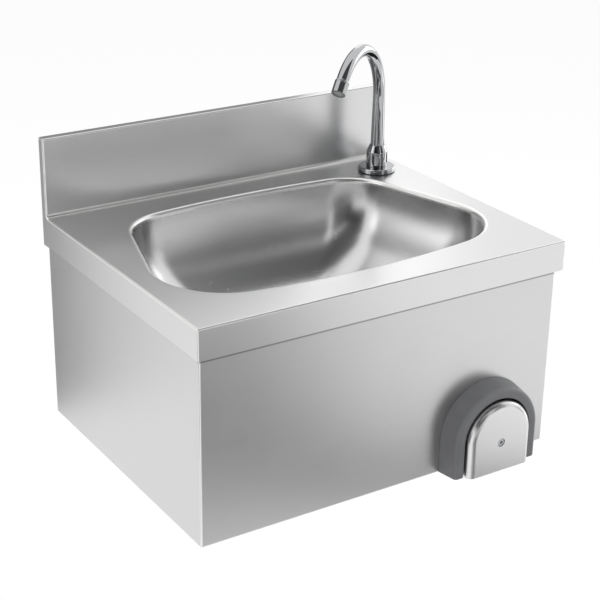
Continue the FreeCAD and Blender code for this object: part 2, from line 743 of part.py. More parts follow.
def bowl_section(step, grow):
    """One outline of the bowl: the throat drawn in and lowered along an elliptical wall."""
    angle = math.pi / 2 * step / (BOWL_SECTIONS - 1)
    drop = math.sin(angle)
    draw_in = 1 - math.cos(angle)
    throat = rim_wire(LIP_RADIUS.value, 0)
    bounds = throat.BoundBox
    half_x = bounds.XLength / 2
    half_y = bounds.YLength / 2
    inset_x = draw_in * BOWL_SIDE_INSET.value - grow
    inset_y = draw_in * BOWL_FLOOR_INSET.value - grow
    depth = LIP_DROP.value + drop * (BOWL_DEPTH.value + grow - LIP_DROP.value)
    middle = Vector(0, bounds.Center.y, 0)
    matrix = FreeCAD.Matrix()
    matrix.move(-middle)
    matrix.scale(1 - inset_x / half_x, 1 - inset_y / half_y, 1)
    matrix.move(middle + Vector(0, 0, -depth))
    return throat.transformGeometry(matrix)


def bowl_loft(grow):
    return Part.makeLoft([bowl_section(step, grow) for step in range(BOWL_SECTIONS)], True, False)


def make_bowl():
    shell = bowl_loft(SHEET_GAUGE.value).cut(bowl_loft(0))
    shape = feature_of("bowl_shell", shell)
    hole = drill(
        "bowl_drain_hole", TAIL_RADIUS + DRAIN_HOLE_GAP, SHEET_GAUGE,
        0, -DRAIN_BACK, -BOWL_DEPTH - SHEET_GAUGE,
    )
    return keep(cut("bowl_solid", shape, hole), "bowl")


# ---------------------------------------------------------------- cabinet


def make_cabinet():
    body = new_body("cabinet_sheet")
    outline = new_sketch(body, "cabinet_outline", "XY_Plane", cabinet_foot)
    trace(outline, [
        (-cabinet_side, cabinet_front),
        (cabinet_side, cabinet_front),
        (cabinet_side, cabinet_rear),
        (-cabinet_side, cabinet_rear),
    ])
    block = pad(body, "cabinet_block", outline, CABINET_HEIGHT + deck_under)
    front = cabinet_front.value
    fillet(
        body, "cabinet_corners", block, BEND_RADIUS,
        lambda e: near(e.CenterOfMass.y, front) and spread(e, "z") > SPARE,
    )
    doc.recompute()
    gauge = SHEET_GAUGE
    side = cabinet_side - gauge
    hollow = box(
        "cabinet_hollow", (-side, side), (cabinet_front + gauge, cabinet_rear - gauge),
        (cabinet_foot + gauge, deck_under - gauge),
    )
    well_side = cabinet_side - TOP_FLANGE
    halfway = cabinet_foot / 2
    top_well = box(
        "cabinet_top_well", (-well_side, well_side), (cabinet_front + TOP_FLANGE, cabinet_rear - gauge),
        (halfway, deck_under + SPARE),
    )
    foot_side = cabinet_side - BOTTOM_FLANGE
    foot_well = box(
        "cabinet_foot_well", (-foot_side, foot_side),
        (cabinet_front + BOTTOM_FLANGE, cabinet_rear - BOTTOM_FLANGE),
        (cabinet_foot - SPARE, halfway),
    )
    rear_side = cabinet_side - REAR_FLANGE
    rear_door = box(
        "cabinet_rear_opening", (-rear_side, rear_side), (cabinet_rear - gauge - SPARE, cabinet_rear + SPARE),
        (cabinet_foot + BOTTOM_FLANGE, deck_under - REAR_TOP_STRIP),
    )
    stud_holes = [
        drill("cabinet_stud_hole_{}".format(i), STUD_RADIUS + STUD_CLEARANCE, gauge, x, y, deck_under - gauge)
        for i, (x, y) in enumerate(stud_places())
    ]
    lower_holes = [
        drill(
            "cabinet_wall_hole_{}".format(i), WALL_HOLE_RADIUS, gauge,
            sign * (cabinet_side - REAR_FLANGE / 2), cabinet_rear - gauge, -LOWER_HOLE_DROP, "y",
        )
        for i, sign in enumerate((-1, 1))
    ]
    bonnet_hole = drill(
        "cabinet_bonnet_hole", BONNET_RADIUS + BONNET_GAP, gauge, KNEE_RIGHT, cabinet_front, axis_z, "y"
    )
    guard_holes = [
        drill(
            "cabinet_guard_hole_{}".format(i), GUARD_SCREW_RADIUS + BONNET_GAP, gauge,
            x, cabinet_front, z, "y",
        )
        for i, (x, z) in enumerate(guard_screw_places())
    ]
    cutters = [hollow, top_well, foot_well, rear_door, bonnet_hole]
    cutters += stud_holes + lower_holes + guard_holes + wall_holes("cabinet")
    return keep(cut("cabinet_solid", body, *cutters), "cabinet")


def stud_places():
    """Three studs down each side and two behind the front."""
    side = cabinet_side - TOP_FLANGE / 2
    middle = (cabinet_front + cabinet_rear) / 2
    rows = [(sign * side, middle + step * STUD_SIDE_PITCH) for sign in (-1, 1) for step in (-1, 0, 1)]
    front = cabinet_front + TOP_FLANGE / 2
    return rows + [(sign * STUD_FRONT_SPACING / 2, front) for sign in (-1, 1)]


def make_studs():
    flange_under = deck_under - SHEET_GAUGE
    washer_under = flange_under - STUD_WASHER_THICKNESS
    nut_under = washer_under - STUD_NUT_HEIGHT
    bore = STUD_RADIUS + THREAD_GAP
    studs = []
    washers = []
    nuts = []
    for i, (x, y) in enumerate(stud_places()):
        studs.append(rod("stud_{}".format(i), STUD_RADIUS, STUD_LENGTH, x, y, deck_under - STUD_LENGTH))
        washers.append(washer(
            "stud_washer_{}".format(i), bore, STUD_WASHER_RADIUS, washer_under, flange_under, x, y
        ))
        nut = hexagon("stud_nut_block_{}".format(i), STUD_NUT_WIDTH, STUD_NUT_HEIGHT, x, y, nut_under)
        hole = drill("stud_nut_bore_{}".format(i), bore, STUD_NUT_HEIGHT, x, y, nut_under)
        nuts.append(cut("stud_nut_{}".format(i), nut, hole))
    keep(group("deck_studs_group", studs), "deck_studs")
    keep(group("stud_washers_group", washers), "stud_washers")
    keep(group("stud_nuts_group", nuts), "stud_nuts")


def make_rear_rail():
    rear = cabinet_rear - SHEET_GAUGE
    half = RAIL_LENGTH / 2
    middle = -UPPER_HOLE_DROP
    bar = box(
        "rail_bar", (-half, half), (rear - RAIL_THICKNESS, rear),
        (middle - RAIL_HEIGHT / 2, middle + RAIL_HEIGHT / 2),
    )
    return keep(cut("rail_solid", bar, *wall_holes("rail")), "rear_rail")


# ---------------------------------------------------------------- waste outlet


def make_waste():
    floor = -BOWL_DEPTH
    under = floor - SHEET_GAUGE
    seal_top = floor + DRAIN_SEAL_THICKNESS
    flange_top = seal_top + DRAIN_FLANGE_THICKNESS
    bore = TAIL_RADIUS - TAIL_WALL
    ledge = seal_top + DRAIN_FLANGE_THICKNESS - STRAINER_THICKNESS
    tail_end = floor - TAIL_LENGTH
    strainer_radius = TAIL_RADIUS - STRAINER_GAP
    y = -DRAIN_BACK
    lower_end = under - LOWER_SEAL_THICKNESS
    washer_end = lower_end - DRAIN_WASHER_THICKNESS
    nut_end = washer_end - DRAIN_NUT_HEIGHT
    relief_end = nut_end - TAIL_RELIEF_WIDTH
    tube = turned("drain_tube", [
        (bore, tail_end),
        (TAIL_RADIUS, tail_end),
        (TAIL_RADIUS, relief_end),
        (TAIL_RADIUS - TAIL_RELIEF_DEPTH, relief_end),
        (TAIL_RADIUS - TAIL_RELIEF_DEPTH, nut_end),
        (TAIL_RADIUS, nut_end),
        (TAIL_RADIUS, seal_top),
        (DRAIN_FLANGE_RADIUS, seal_top),
        (DRAIN_FLANGE_RADIUS, flange_top - DRAIN_FLANGE_BEVEL),
        (DRAIN_FLANGE_RADIUS - DRAIN_FLANGE_BEVEL, flange_top),
        (TAIL_RADIUS, flange_top),
        (TAIL_RADIUS, ledge),
        (bore, ledge),
    ], 0, y)
    bar_top = floor - CROSSBAR_DROP
    reach = bore + TAIL_WALL / 2
    bar = box(
        "drain_crossbar", (-reach, reach), (y - CROSSBAR_WIDTH / 2, y + CROSSBAR_WIDTH / 2),
        (bar_top - CROSSBAR_HEIGHT, bar_top),
    )
    screw_hole = drill(
        "drain_crossbar_hole", STRAINER_SCREW_RADIUS + THREAD_GAP, CROSSBAR_HEIGHT,
        0, y, bar_top - CROSSBAR_HEIGHT,
    )
    keep(cut("drain_body_solid", fuse("drain_body_block", tube, bar), screw_hole), "drain_body")
    seal_bore = TAIL_RADIUS + DRAIN_HOLE_GAP
    seal_radius = DRAIN_FLANGE_RADIUS - DRAIN_SEAL_INSET
    keep(washer("drain_upper_seal_turned", seal_bore, seal_radius, floor, seal_top, 0, y), "drain_upper_seal")
    thread_bore = TAIL_RADIUS + THREAD_GAP
    lower_seal = washer("drain_lower_seal_turned", thread_bore, DRAIN_FLANGE_RADIUS, lower_end, under, 0, y)
    keep(lower_seal, "drain_lower_seal")
    slip_washer = washer(
        "drain_washer_turned", thread_bore, DRAIN_FLANGE_RADIUS, washer_end, lower_end, 0, y
    )
    keep(slip_washer, "drain_washer")
    nut = hexagon("drain_nut_block", DRAIN_NUT_WIDTH, DRAIN_NUT_HEIGHT, 0, y, nut_end)
    nut_bore = drill("drain_nut_bore", thread_bore, DRAIN_NUT_HEIGHT, 0, y, nut_end)
    keep(cut("drain_nut_solid", nut, nut_bore), "drain_nut")

    plate = rod("strainer_plate", strainer_radius, STRAINER_THICKNESS, 0, y, ledge)
    screw_eye = STRAINER_SCREW_RADIUS + THREAD_GAP
    holes = [drill("strainer_centre", screw_eye, STRAINER_THICKNESS, 0, y, ledge)]
    for count, radius in ((8, STRAINER_INNER_RING), (12, STRAINER_MIDDLE_RING), (18, STRAINER_OUTER_RING)):
        for i in range(count):
            turn = 2 * math.pi * i / count
            holes.append(drill(
                "strainer_hole_{}".format(len(holes)), STRAINER_HOLE_RADIUS, STRAINER_THICKNESS,
                radius * math.cos(turn), y + radius * math.sin(turn), ledge,
            ))
    keep(cut("strainer_solid", plate, *holes), "strainer")
    head_low = ledge + STRAINER_THICKNESS
    shank_end = head_low - STRAINER_SCREW_LENGTH
    screw = turned("strainer_screw_turned", [
        (0, shank_end),
        (STRAINER_SCREW_RADIUS, shank_end),
        (STRAINER_SCREW_RADIUS, head_low),
        (STRAINER_HEAD_RADIUS, head_low),
        (STRAINER_HEAD_RADIUS - STRAINER_HEAD_BEVEL, head_low + STRAINER_HEAD_HEIGHT),
        (0, head_low + STRAINER_HEAD_HEIGHT),
    ], 0, y)
    head_top = head_low + STRAINER_HEAD_HEIGHT
    slot = box(
        "strainer_screw_slot", (-STRAINER_HEAD_RADIUS, STRAINER_HEAD_RADIUS),
        (y - STRAINER_SLOT_WIDTH / 2, y + STRAINER_SLOT_WIDTH / 2),
        (head_top - STRAINER_SLOT_DEPTH, head_top + SPARE),
    )
    keep(cut("strainer_screw_solid", screw, slot), "strainer_screw")


# ---------------------------------------------------------------- tap


def make_tap():
    gasket_top = TAP_GASKET_THICKNESS
    flange_top = gasket_top + TAP_FLANGE_HEIGHT
    body_top = flange_top + TAP_BODY_HEIGHT
    neck_top = body_top + TAP_NECK_HEIGHT
    at = (tap_x, tap_y)
    hole = SHANK_RADIUS + SHANK_GAP
    keep(washer("tap_gasket_turned", hole, TAP_GASKET_RADIUS, 0, gasket_top, *at), "tap_gasket")
    keep(turned("tap_flange_turned", [
        (SHANK_RADIUS + THREAD_GAP, gasket_top),
        (TAP_FLANGE_RADIUS, gasket_top),
        (TAP_FLANGE_RADIUS, flange_top - TAP_FLANGE_BEVEL),
        (TAP_FLANGE_RADIUS - TAP_FLANGE_BEVEL, flange_top),
        (SHANK_RADIUS + THREAD_GAP, flange_top),
    ], *at), "tap_flange")
    chamber = FOOT_RADIUS + SWIVEL_GAP
    chamber_floor = neck_top - FOOT_LENGTH - FOOT_END_GAP
    shank_end = -SHANK_LENGTH
    socket_top = shank_end + ADAPTER_LENGTH + FOOT_END_GAP
    socket = SHANK_SOCKET_RADIUS + THREAD_GAP
    keep(turned("tap_body_turned", [
        (socket, shank_end),
        (SHANK_RADIUS, shank_end),
        (SHANK_RADIUS, flange_top),
        (TAP_BODY_RADIUS, flange_top),
        (TAP_BODY_RADIUS, body_top),
        (TAP_NECK_RADIUS, body_top),
        (TAP_NECK_RADIUS, neck_top),
        (chamber, neck_top),
        (chamber, chamber_floor),
        (WATERWAY_RADIUS, chamber_floor),
        (WATERWAY_RADIUS, socket_top),
        (socket, socket_top),
    ], *at), "tap_body")
    ledge = neck_top + SWIVEL_FLANGE_HEIGHT + SWIVEL_GAP
    collar_bore = SPOUT_BASE_RADIUS + SWIVEL_GAP
    keep(turned("spout_collar_turned", [
        (TAP_NECK_RADIUS + THREAD_GAP, body_top),
        (TAP_BODY_RADIUS, body_top),
        (TAP_BODY_RADIUS, body_top + COLLAR_BAND),
        (COLLAR_TOP_RADIUS, body_top + COLLAR_HEIGHT),
        (collar_bore, body_top + COLLAR_HEIGHT),
        (collar_bore, ledge),
        (TAP_NECK_RADIUS + THREAD_GAP, ledge),
    ], *at), "spout_collar")
    gasket_end = deck_under - UNDER_GASKET_THICKNESS
    thread_bore = SHANK_RADIUS + THREAD_GAP
    under_gasket = washer(
        "tap_under_gasket_turned", thread_bore, UNDER_WASHER_RADIUS, gasket_end, deck_under, *at
    )
    keep(under_gasket, "tap_under_gasket")
    washer_end = gasket_end - UNDER_WASHER_THICKNESS
    slip_washer = washer("tap_washer_turned", thread_bore, UNDER_WASHER_RADIUS, washer_end, gasket_end, *at)
    keep(slip_washer, "tap_washer")
    nut_end = washer_end - BACKNUT_HEIGHT
    nut = hexagon("tap_backnut_block", BACKNUT_WIDTH, BACKNUT_HEIGHT, *at, nut_end)
    bore = drill("tap_backnut_bore", thread_bore, BACKNUT_HEIGHT, *at, nut_end)
    keep(cut("tap_backnut_solid", nut, bore), "tap_backnut")
    make_spout(neck_top, body_top)


def spout_placement():
    """The spout and what is on it turn about the tap's axis to the heading it rests at."""
    return Placement(Vector(tap_x.value, tap_y.value, 0), Rotation(Vector(0, 0, 1), SPOUT_HEADING.value))


def make_spout(neck_top, body_top):
    foot_end = neck_top - FOOT_LENGTH
    flange_top = neck_top + SWIVEL_FLANGE_HEIGHT
    groove = RING_WIRE_RADIUS * 2 + GROOVE_SPARE
    groove_radius = FOOT_RADIUS + SWIVEL_GAP - RING_GAP - RING_WIRE_RADIUS * 2
    first = foot_end + GROOVE_LAND
    second = first + groove + GROOVE_LAND
    body = new_body("spout_tube")
    outline = new_sketch(body, "spout_foot_outline", "XZ_Plane")
    trace(outline, [
        (SPOUT_BORE_RADIUS, foot_end),
        (FOOT_RADIUS, foot_end),
        (FOOT_RADIUS, first),
        (groove_radius, first),
        (groove_radius, first + groove),
        (FOOT_RADIUS, first + groove),
        (FOOT_RADIUS, second),
        (groove_radius, second),
        (groove_radius, second + groove),
        (FOOT_RADIUS, second + groove),
        (FOOT_RADIUS, neck_top),
        (SWIVEL_FLANGE_RADIUS, neck_top),
        (SWIVEL_FLANGE_RADIUS, flange_top),
        (SPOUT_BASE_RADIUS, flange_top),
        (SPOUT_BASE_RADIUS, body_top + COLLAR_HEIGHT + SWIVEL_GAP),
        (SPOUT_TUBE_RADIUS, SPOUT_STRAIGHT),
        (SPOUT_BORE_RADIUS, SPOUT_STRAIGHT),
    ])
    foot = body.newObject("PartDesign::Revolution", "spout_foot")
    foot.Profile = outline
    foot.ReferenceAxis = (outline, ["V_Axis"])
    foot.Angle = 360
    path = new_sketch(body, "spout_path", "XZ_Plane")
    bend = SPOUT_BEND_RADIUS
    sweep = SPOUT_SWEEP
    arc_end = (bend * cosine(sweep) - bend, SPOUT_STRAIGHT + bend * sine(sweep))
    tip = (arc_end[0] - SPOUT_END * sine(sweep), arc_end[1] + SPOUT_END * cosine(sweep))
    centre = Vector(-bend.value, SPOUT_STRAIGHT.value, 0)
    arc = Part.ArcOfCircle(Part.Circle(centre, Vector(0, 0, 1), bend.value), 0, math.radians(sweep.value))
    path.addGeometry(arc)
    ends = [Vector(x.value, y.value, 0) for x, y in (arc_end, tip)]
    path.addGeometry(Part.LineSegment(*ends))
    path.addConstraint(Sketcher.Constraint("Coincident", 0, END, 1, START))
    pin(path, 0, CENTRE, "DistanceX", -bend)
    pin(path, 0, CENTRE, "DistanceY", SPOUT_STRAIGHT)
    measure(path, "Radius", 0, bend)
    pin(path, 0, START, "DistanceY", SPOUT_STRAIGHT)
    pin(path, 1, START, "DistanceX", arc_end[0])
    pin(path, 1, END, "DistanceX", tip[0])
    pin(path, 1, END, "DistanceY", tip[1])
    profile = new_sketch(body, "spout_profile", "XY_Plane", SPOUT_STRAIGHT)
    circle(profile, SPOUT_TUBE_RADIUS)
    circle(profile, SPOUT_BORE_RADIUS)
    doc.recompute()
    pipe = body.newObject("PartDesign::AdditivePipe", "spout_bend")
    pipe.Profile = profile
    pipe.Spine = (path, [])
    doc.recompute()
    body.Placement = spout_placement()
    keep(body, "spout")
    rings = [
        ring(
            "spout_ring_{}".format(i), FOOT_RADIUS + SWIVEL_GAP - RING_GAP - RING_WIRE_RADIUS,
            RING_WIRE_RADIUS, tap_x, tap_y, low + groove / 2,
        )
        for i, low in enumerate((first, second))
    ]
    keep(group("spout_rings_group", rings), "spout_rings")
    make_aerator(tip)


def make_aerator(tip):
    """The aerator's own axis runs out of the spout's end, and its station 0 is the shell's upper end."""
    sweep = math.radians(SPOUT_SWEEP.value)
    out = Vector(-math.sin(sweep), 0, math.cos(sweep))
    start = Vector(tip[0].value, 0, tip[1].value) - out * AERATOR_OVERLAP.value
    here = spout_placement().multiply(Placement(start, Rotation(Vector(0, 0, 1), out)))
    bore = SPOUT_TUBE_RADIUS + THREAD_GAP
    end = AERATOR_LENGTH
    cage = AERATOR_RADIUS - AERATOR_WALL
    seal_end = AERATOR_OVERLAP + AERATOR_SEAL_THICKNESS
    shell = turned("aerator_shell_turned", [
        (bore, 0),
        (AERATOR_RADIUS - AERATOR_BEVEL, 0),
        (AERATOR_RADIUS, AERATOR_BEVEL),
        (AERATOR_RADIUS, end - AERATOR_BEVEL),
        (AERATOR_RADIUS - AERATOR_BEVEL, end),
        (cage - AERATOR_LIP, end),
        (cage - AERATOR_LIP, end - AERATOR_LIP),
        (cage, end - AERATOR_LIP),
        (cage, AERATOR_OVERLAP),
        (bore, AERATOR_OVERLAP),
    ])
    seal = washer("aerator_seal_turned", SPOUT_BORE_RADIUS, cage - THREAD_GAP, AERATOR_OVERLAP, seal_end)
    insert = turned("aerator_insert_turned", [
        (0, end - AERATOR_LIP - AERATOR_PLATE),
        (cage - AERATOR_CORE_GAP, end - AERATOR_LIP - AERATOR_PLATE),
        (cage - AERATOR_CORE_GAP, seal_end),
        (cage - THREAD_GAP, seal_end),
        (cage - THREAD_GAP, end - AERATOR_LIP),
        (0, end - AERATOR_LIP),
    ])
    holes = []
    for count, share in ((6, 0.5), (12, 1)):
        radius = AERATOR_RING * share
        for i in range(count):
            turn = 2 * math.pi * i / count
            holes.append(drill(
                "aerator_hole_{}".format(len(holes)), AERATOR_HOLE_RADIUS, AERATOR_PLATE,
                radius * math.cos(turn), radius * math.sin(turn), end - AERATOR_LIP - AERATOR_PLATE,
            ))
    drilled = cut("aerator_insert_solid", insert, *holes)
    for thing, label in ((shell, "aerator_shell"), (seal, "aerator_seal"), (drilled, "aerator_insert")):
        doc.recompute()
        thing.setExpression("Placement.Base.x", None)
        thing.setExpression("Placement.Base.y", None)
        thing.setExpression("Placement.Base.z", None)
        thing.Placement = here
        keep(thing, label)


# ---------------------------------------------------------------- knee guard and push pad


def guard_screw_places():
    """One screw at the crown of the guard and one in each leg, as (x, z)."""
    ring_radius = GUARD_SCREW_RING
    leg = knee_z - ARCH_HEIGHT / 2
    return [
        (KNEE_RIGHT, knee_z + ring_radius),
        (KNEE_RIGHT - ring_radius, leg),
        (KNEE_RIGHT + ring_radius, leg),
    ]


def arch_body(name, radius, leg, length, rear, taper=None):
    """A round-topped block that reaches forward from its rear plane."""
    body = new_body(name)
    sketch = new_sketch(body, name + "_outline", "XZ_Plane")
    arch(sketch, radius, leg)
    block = pad(body, name + "_pad", sketch, length, taper=taper)
    place(body, KNEE_RIGHT, rear, knee_z)
    doc.recompute()
    return body, block


def make_guard():
    leg = ARCH_HEIGHT - GUARD_FOOT_GAP
    outside, block = arch_body("guard_outside", GUARD_RADIUS, leg, GUARD_DEPTH, cabinet_front, -GUARD_TAPER)
    front = -GUARD_DEPTH.value
    fillet(
        outside, "guard_front_round", block, GUARD_EDGE_RADIUS,
        lambda e: near(e.BoundBox.YMin, front) and near(e.BoundBox.YMax, front),
    )
    well_length = GUARD_DEPTH - GUARD_BACK_WALL + SPARE
    well, _ = arch_body(
        "guard_well", GUARD_OPENING_RADIUS, ARCH_HEIGHT + SPARE, well_length, cabinet_front - GUARD_BACK_WALL
    )
    cavity_depth = GUARD_DEPTH - GUARD_FRONT_WALL
    cavity_foot = leg - GUARD_FRONT_WALL
    cavity_out, _ = arch_body(
        "guard_cavity_outside", GUARD_RADIUS - GUARD_OUTER_WALL, cavity_foot, cavity_depth, cabinet_front
    )
    cavity_in, _ = arch_body(
        "guard_cavity_inside", GUARD_OPENING_RADIUS + GUARD_INNER_WALL, ARCH_HEIGHT + SPARE,
        cavity_depth + 2 * SPARE, cabinet_front + SPARE,
    )
    bosses = [
        drill("guard_boss_{}".format(i), GUARD_BOSS_RADIUS, cavity_depth, x, cabinet_front, z, "-y")
        for i, (x, z) in enumerate(guard_screw_places())
    ]
    cavity = cut("guard_cavity", cavity_out, cavity_in, *bosses)
    pilots = [
        drill(
            "guard_pilot_{}".format(i), GUARD_SCREW_RADIUS + THREAD_GAP, GUARD_SCREW_REACH,
            x, cabinet_front, z, "-y",
        )
        for i, (x, z) in enumerate(guard_screw_places())
    ]
    axis_hole = drill(
        "guard_axis_hole", BONNET_RADIUS + BONNET_GAP, GUARD_BACK_WALL,
        KNEE_RIGHT, cabinet_front - GUARD_BACK_WALL, axis_z, "y",
    )
    keep(cut("guard_solid", outside, well, cavity, axis_hole, *pilots), "knee_guard")
    inside = cabinet_front + SHEET_GAUGE
    screws = []
    for i, (x, z) in enumerate(guard_screw_places()):
        reach = GUARD_SCREW_REACH + SHEET_GAUGE
        shank = rod("guard_screw_shank_{}".format(i), GUARD_SCREW_RADIUS, reach, x, inside, z, "-y")
        head = rod(
            "guard_screw_head_{}".format(i), GUARD_SCREW_HEAD_RADIUS, GUARD_SCREW_HEAD_HEIGHT,
            x, inside, z, "y",
        )
        screws.append(fuse("guard_screw_{}".format(i), shank, head))
    keep(group("guard_screws_group", screws), "guard_screws")


def front_round(body, name, block, length, radius, foot):
    """Rounds the arch and the sides of a block's front face, and leaves its flat foot sharp."""
    front = -length.value
    return fillet(
        body, name, block, radius,
        lambda e: near(e.BoundBox.YMin, front) and near(e.BoundBox.YMax, front)
        and not (near(e.BoundBox.ZMin, -foot.value) and near(e.BoundBox.ZMax, -foot.value)),
    )


def make_pad():
    """The pressed pad, the core that stiffens it and the screw that holds both to the valve's stem."""
    leg = ARCH_HEIGHT - PAD_FOOT_GAP
    shell, block = arch_body("pad_shell", PAD_RADIUS, leg, pad_depth, pad_rear)
    rounded = front_round(shell, "pad_shell_round", block, pad_depth, PAD_EDGE_RADIUS, leg)
    doc.recompute()
    rear_face = [
        "Face{}".format(i + 1)
        for i, face in enumerate(rounded.Shape.Faces)
        if near(face.BoundBox.YMin, 0) and near(face.BoundBox.YMax, 0)
    ]
    wall = shell.newObject("PartDesign::Thickness", "pad_shell_wall")
    wall.Base = (rounded, rear_face)
    bind(wall, "Value", SHEET_GAUGE)
    wall.Reversed = True
    doc.recompute()
    screw_eye = drill(
        "pad_screw_eye", PAD_SCREW_HEAD_RADIUS + SCREW_RING_GAP, SHEET_GAUGE,
        KNEE_RIGHT, pad_front, axis_z, "y",
    )
    keep(cut("push_pad_solid", shell, screw_eye), "push_pad")

    core_front = pad_front + SHEET_GAUGE
    core_rear = core_front + CORE_LENGTH
    core_radius = PAD_RADIUS - SHEET_GAUGE - CORE_GAP
    core_leg = leg - SHEET_GAUGE - CORE_GAP
    core, core_block = arch_body("pad_core_block", core_radius, core_leg, CORE_LENGTH, core_rear)
    front_round(core, "pad_core_round", core_block, CORE_LENGTH, PAD_EDGE_RADIUS, core_leg)
    doc.recompute()
    cup_floor = core_rear - SPRING_POCKET
    boss_length = SPRING_POCKET + CORE_BOSS_LENGTH
    boss = rod("pad_core_boss", CORE_BOSS_RADIUS, boss_length, KNEE_RIGHT, cup_floor, axis_z, "y")
    cup = rod("pad_core_cup", SPRING_CUP_RADIUS, boss_length, KNEE_RIGHT, cup_floor, axis_z, "y")
    stem_seat = pad_front + STEM_INSET
    stem_bore = rod(
        "pad_core_stem_bore", STEM_RADIUS + THREAD_GAP, SINK_DEPTH, KNEE_RIGHT, stem_seat, axis_z, "y"
    )
    screw_bore = rod(
        "pad_core_screw_bore", PAD_SCREW_RADIUS + THREAD_GAP, CORE_LENGTH, KNEE_RIGHT, pad_front, axis_z, "y"
    )
    head_seat = pad_front + PAD_SCREW_SINK + PAD_SCREW_HEAD_HEIGHT
    head_bore = rod(
        "pad_core_head_bore", PAD_SCREW_HEAD_RADIUS + SCREW_RING_GAP, head_seat - pad_front,
        KNEE_RIGHT, pad_front, axis_z, "y",
    )
    bossed = fuse("pad_core_fused", cut("pad_core_cupped", core, cup), boss)
    keep(cut("pad_core_solid", bossed, stem_bore, screw_bore, head_bore), "pad_core")

    head_front = head_seat - PAD_SCREW_HEAD_HEIGHT
    head = rod(
        "pad_screw_head", PAD_SCREW_HEAD_RADIUS, PAD_SCREW_HEAD_HEIGHT, KNEE_RIGHT, head_front, axis_z, "y"
    )
    shank = rod("pad_screw_shank", PAD_SCREW_RADIUS, PAD_SCREW_REACH, KNEE_RIGHT, head_seat, axis_z, "y")
    socket = hexagon(
        "pad_screw_socket_block", PAD_SCREW_SOCKET, 2 * PAD_SCREW_SOCKET_DEPTH,
        KNEE_RIGHT, head_front - PAD_SCREW_SOCKET_DEPTH, axis_z, "y",
    )
    keep(cut("pad_screw_solid", fuse("pad_screw_fused", head, shank), socket), "pad_screw")
    return stem_seat, core_rear


# ---------------------------------------------------------------- knee valve


def on_axis(name, outline):
    """A turned piece on the valve's axis, its stations counted into the cabinet from its front face."""
    return turned(name, outline, KNEE_RIGHT, cabinet_front, axis_z, "y")


